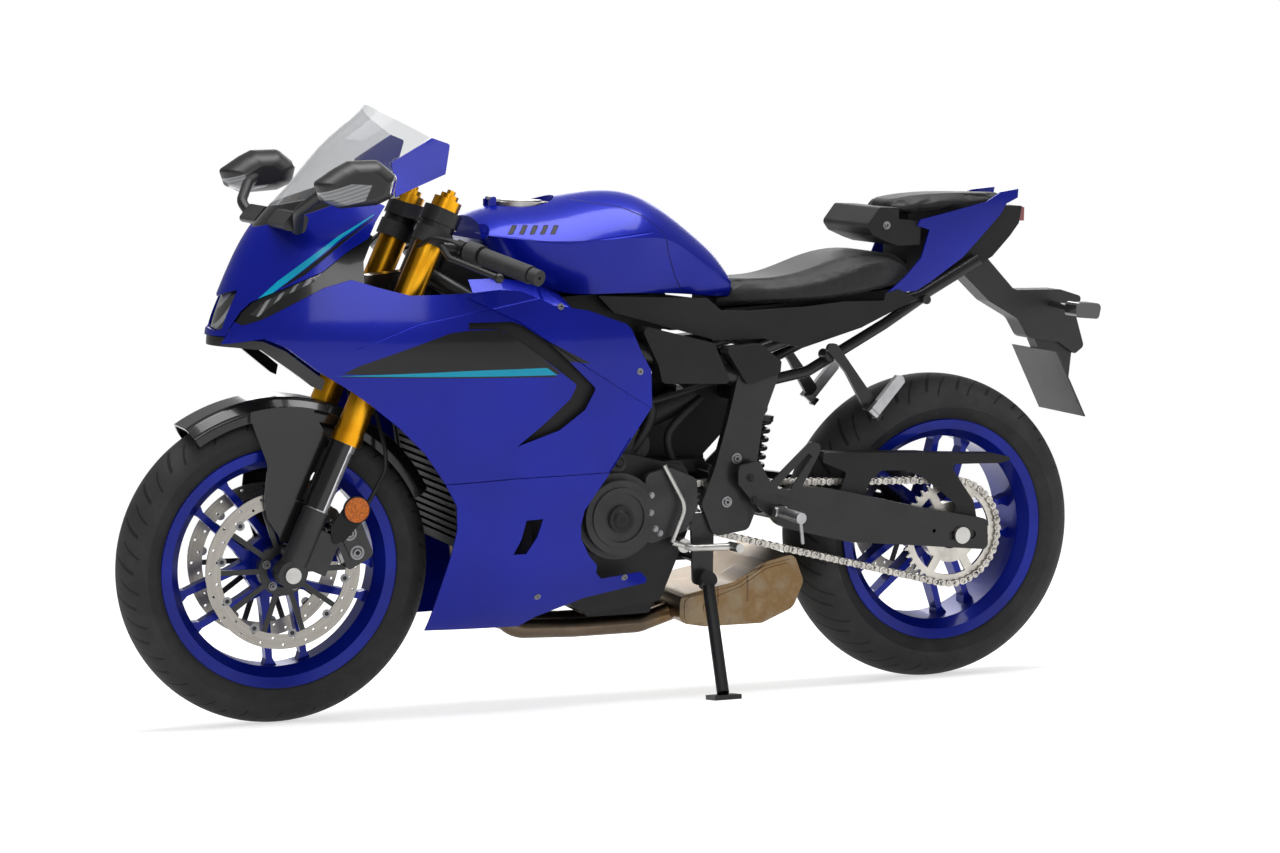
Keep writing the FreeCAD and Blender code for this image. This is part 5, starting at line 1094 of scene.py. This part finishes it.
def drive_chain():
    """Links between the pins, inner and outer in turn, and a roller on each pin."""
    pins = chain_loop()
    places = []
    across = Matrix.Rotation(math.radians(90), 4, "X")
    for i, (pin, after) in enumerate(zip(pins, pins[1:] + pins[:1])):
        angle = math.atan2(after[1] - pin[1], after[0] - pin[0])
        turn = (Matrix.Rotation(-angle, 4, "Y") @ across).to_euler()
        middle = along_line(pin, after, 0.5)
        places.append((upright(middle[0], CHAIN_Y, middle[1]), turn, 1.0, i % 2))
        places.append((upright(pin[0], CHAIN_Y, pin[1]), turn, 1.0, 2))
    piece = chain_shape().bake("roller_chain", places, "chassis", "chain_steel", Pitch=PITCH * 0.001)
    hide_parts("chain")


# Seats

VOXEL = 0.005
SHRINK = 0.0025
RISE = 0.006
PROUD = 0.0012
SEAM_DEPTH, SEAM_WIDTH, SEAM_UPWARD = 0.0026, 0.0022, 0.1
PRESSURE = 4.0
CLOTH_FRAMES = 20


def numbers(items, label):
    """One vector property of many items, as an array."""
    values = np.empty(len(items) * 3)
    items.foreach_get(label, values)
    return values.reshape(-1, 3)


def swollen(mesh):
    """Cloth under inner pressure, stopped at a small rise."""
    obj = linked("pad_under_pressure", mesh)
    before = numbers(mesh.vertices, "co")
    cloth = obj.modifiers.new("cloth", "CLOTH")
    cloth.settings.quality = 5
    cloth.settings.use_pressure = True
    cloth.settings.uniform_pressure_force = PRESSURE
    cloth.settings.effector_weights.gravity = 0.0
    cloth.point_cache.frame_start = 1
    cloth.point_cache.frame_end = CLOTH_FRAMES
    for number in range(1, CLOTH_FRAMES + 1):
        scene.frame_set(number)
    result = plain_mesh(obj)
    move = numbers(result.vertices, "co") - before
    share = np.minimum(1.0, RISE / np.maximum(np.linalg.norm(move, axis=1), 1e-9))
    result.vertices.foreach_set("co", (before + move * share[:, None]).ravel())
    scene.frame_set(1)
    return result


def reworked(mesh, kind, **settings):
    """The mesh after one modifier."""
    obj = linked("pad", mesh)
    modifier = obj.modifiers.new("step", kind)
    for key, value in settings.items():
        setattr(modifier, key, value)
    return plain_mesh(obj)


def seat_source(node):
    """Merged copy of a seat's solid, stood upright."""
    bm = bmesh.new()
    bm.from_mesh(nodes[node].data)
    bmesh.ops.remove_doubles(bm, verts=bm.verts, dist=1e-5)
    stand = TO_ROW.inverted()
    for vertex in bm.verts:
        vertex.co = stand @ vertex.co
    source = bpy.data.meshes.new(node + "_source")
    bm.to_mesh(source)
    bm.free()
    return source


def seat_pad(node, name, seam):
    """The seat's foam under its cover, swollen a little, with a sewn seam along each side."""
    source = seat_source(node)
    tree = ray_tree([v.co for v in source.vertices], source)
    pad = reworked(source, "REMESH", mode="VOXEL", voxel_size=VOXEL)
    shrunk = numbers(pad.vertices, "co") - numbers(pad.vertices, "normal") * SHRINK
    pad.vertices.foreach_set("co", shrunk.ravel())
    pad = swollen(pad)
    pad = reworked(pad, "SUBSURF", levels=1, render_levels=1)
    places, normals = numbers(pad.vertices, "co"), numbers(pad.vertices, "normal")
    for i, (place, outward) in enumerate(zip(places, normals)):
        near, normal = tree.find_nearest(Vector(place))[:2]
        proud = (Vector(place) - near).dot(normal)
        groove = 0.0
        if outward[2] > SEAM_UPWARD:
            groove = SEAM_DEPTH * math.exp(-((seam(place[0], place[1]) / SEAM_WIDTH) ** 2))
        places[i] = place + outward * (min(0.0, PROUD - proud) - groove)
    pad.vertices.foreach_set("co", places.ravel())
    pad.update()
    piece = stand_piece(name, pad, "chassis", FINISHES["seat_cover"])
    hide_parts(node)


def rider_seam(x, y):
    """Distance to the seam, which draws in towards the tank."""
    return abs(y) - (0.086 - max(0.0, x - 0.30) * 0.20)


def pillion_seam(x, y):
    return abs(y) - (0.048 - abs(x) * 0.05)


fasteners()
hoses()
shade_sheets()
shoulder_panels()
steering_details()
drive_chain()
seat_pad("rider_seat", "rider_saddle", rider_seam)
seat_pad("pillion_seat", "pillion_pad", pillion_seam)


# Floor, lights and sky

FLOOR_TONE = 0.62
FLOOR_HALF = 30.0
FLOOR_FADE = (1.3, 3.2)
SKY_LIGHT = 0.30
SOFTBOXES = (
    ("top_box", (0.0, 0.4, 3.6), (0.0, 0.0, 0.6), (4.2, 1.6), 135.0),
    ("left_box", (1.6, 4.2, 2.4), (0.0, 0.0, 0.6), (2.4, 1.2), 38.0),
    ("back_box", (-1.5, -3.5, 2.4), (0.0, 0.0, 0.7), (3.0, 1.6), 45.0),
)


def floor_white():
    """Pale floor, which the camera and mirror-like rays see turn pure white away from the bike."""
    f = Finish("floor_white")
    path = f.node("ShaderNodeLightPath", out="Is Camera Ray")
    seen = path | path.other("Is Glossy Ray") | path.other("Is Transmission Ray")
    away = f.node("ShaderNodeVectorMath", {"operation": "LENGTH"}, {0: f.place()}, out=1).ramp(*FLOOR_FADE)
    glow = seen * (away * (1.0 - FLOOR_TONE) + FLOOR_TONE)
    return f.set(Base_Color=(FLOOR_TONE,) * 3, Roughness=0.9, Specular_IOR_Level=0.0, Emission_Strength=1.0,
                 Emission_Color=f.mix(glow, (0.0, 0.0, 0.0), (1.0, 1.0, 1.0)))


def make_floor():
    mesh = bpy.data.meshes.new("floor")
    corners = [(x * FLOOR_HALF, y * FLOOR_HALF, 0) for x, y in ((-1, -1), (1, -1), (1, 1), (-1, 1))]
    mesh.from_pydata(corners, [], [(0, 1, 2, 3)])
    mesh.materials.append(floor_white())
    floor = linked("floor", mesh)
    floor.location.z = -0.0005


def make_sky():
    """White sky behind the bike, which lights it more dimly."""
    world = bpy.data.worlds.new("sky")
    scene.world = world
    world.use_nodes = True
    tree = world.node_tree
    background = tree.nodes["Background"]
    background.inputs["Color"].default_value = (1.0, 1.0, 1.0, 1.0)
    path = make_node(tree, "ShaderNodeLightPath", out="Is Camera Ray")
    connect(tree, background.inputs["Strength"], path | path.other("Is Transmission Ray") | SKY_LIGHT)


def softbox(name, place, aim, size, watts):
    data = bpy.data.lights.new(name, "AREA")
    data.shape = "RECTANGLE"
    data.size, data.size_y = size
    data.energy = watts
    lamp = linked(name, data)
    lamp.location = place
    lamp.rotation_euler = (Vector(aim) - Vector(place)).to_track_quat("-Z", "Y").to_euler()


make_floor()
make_sky()
for box in SOFTBOXES:
    softbox(*box)

scene.view_settings.view_transform = "Standard"
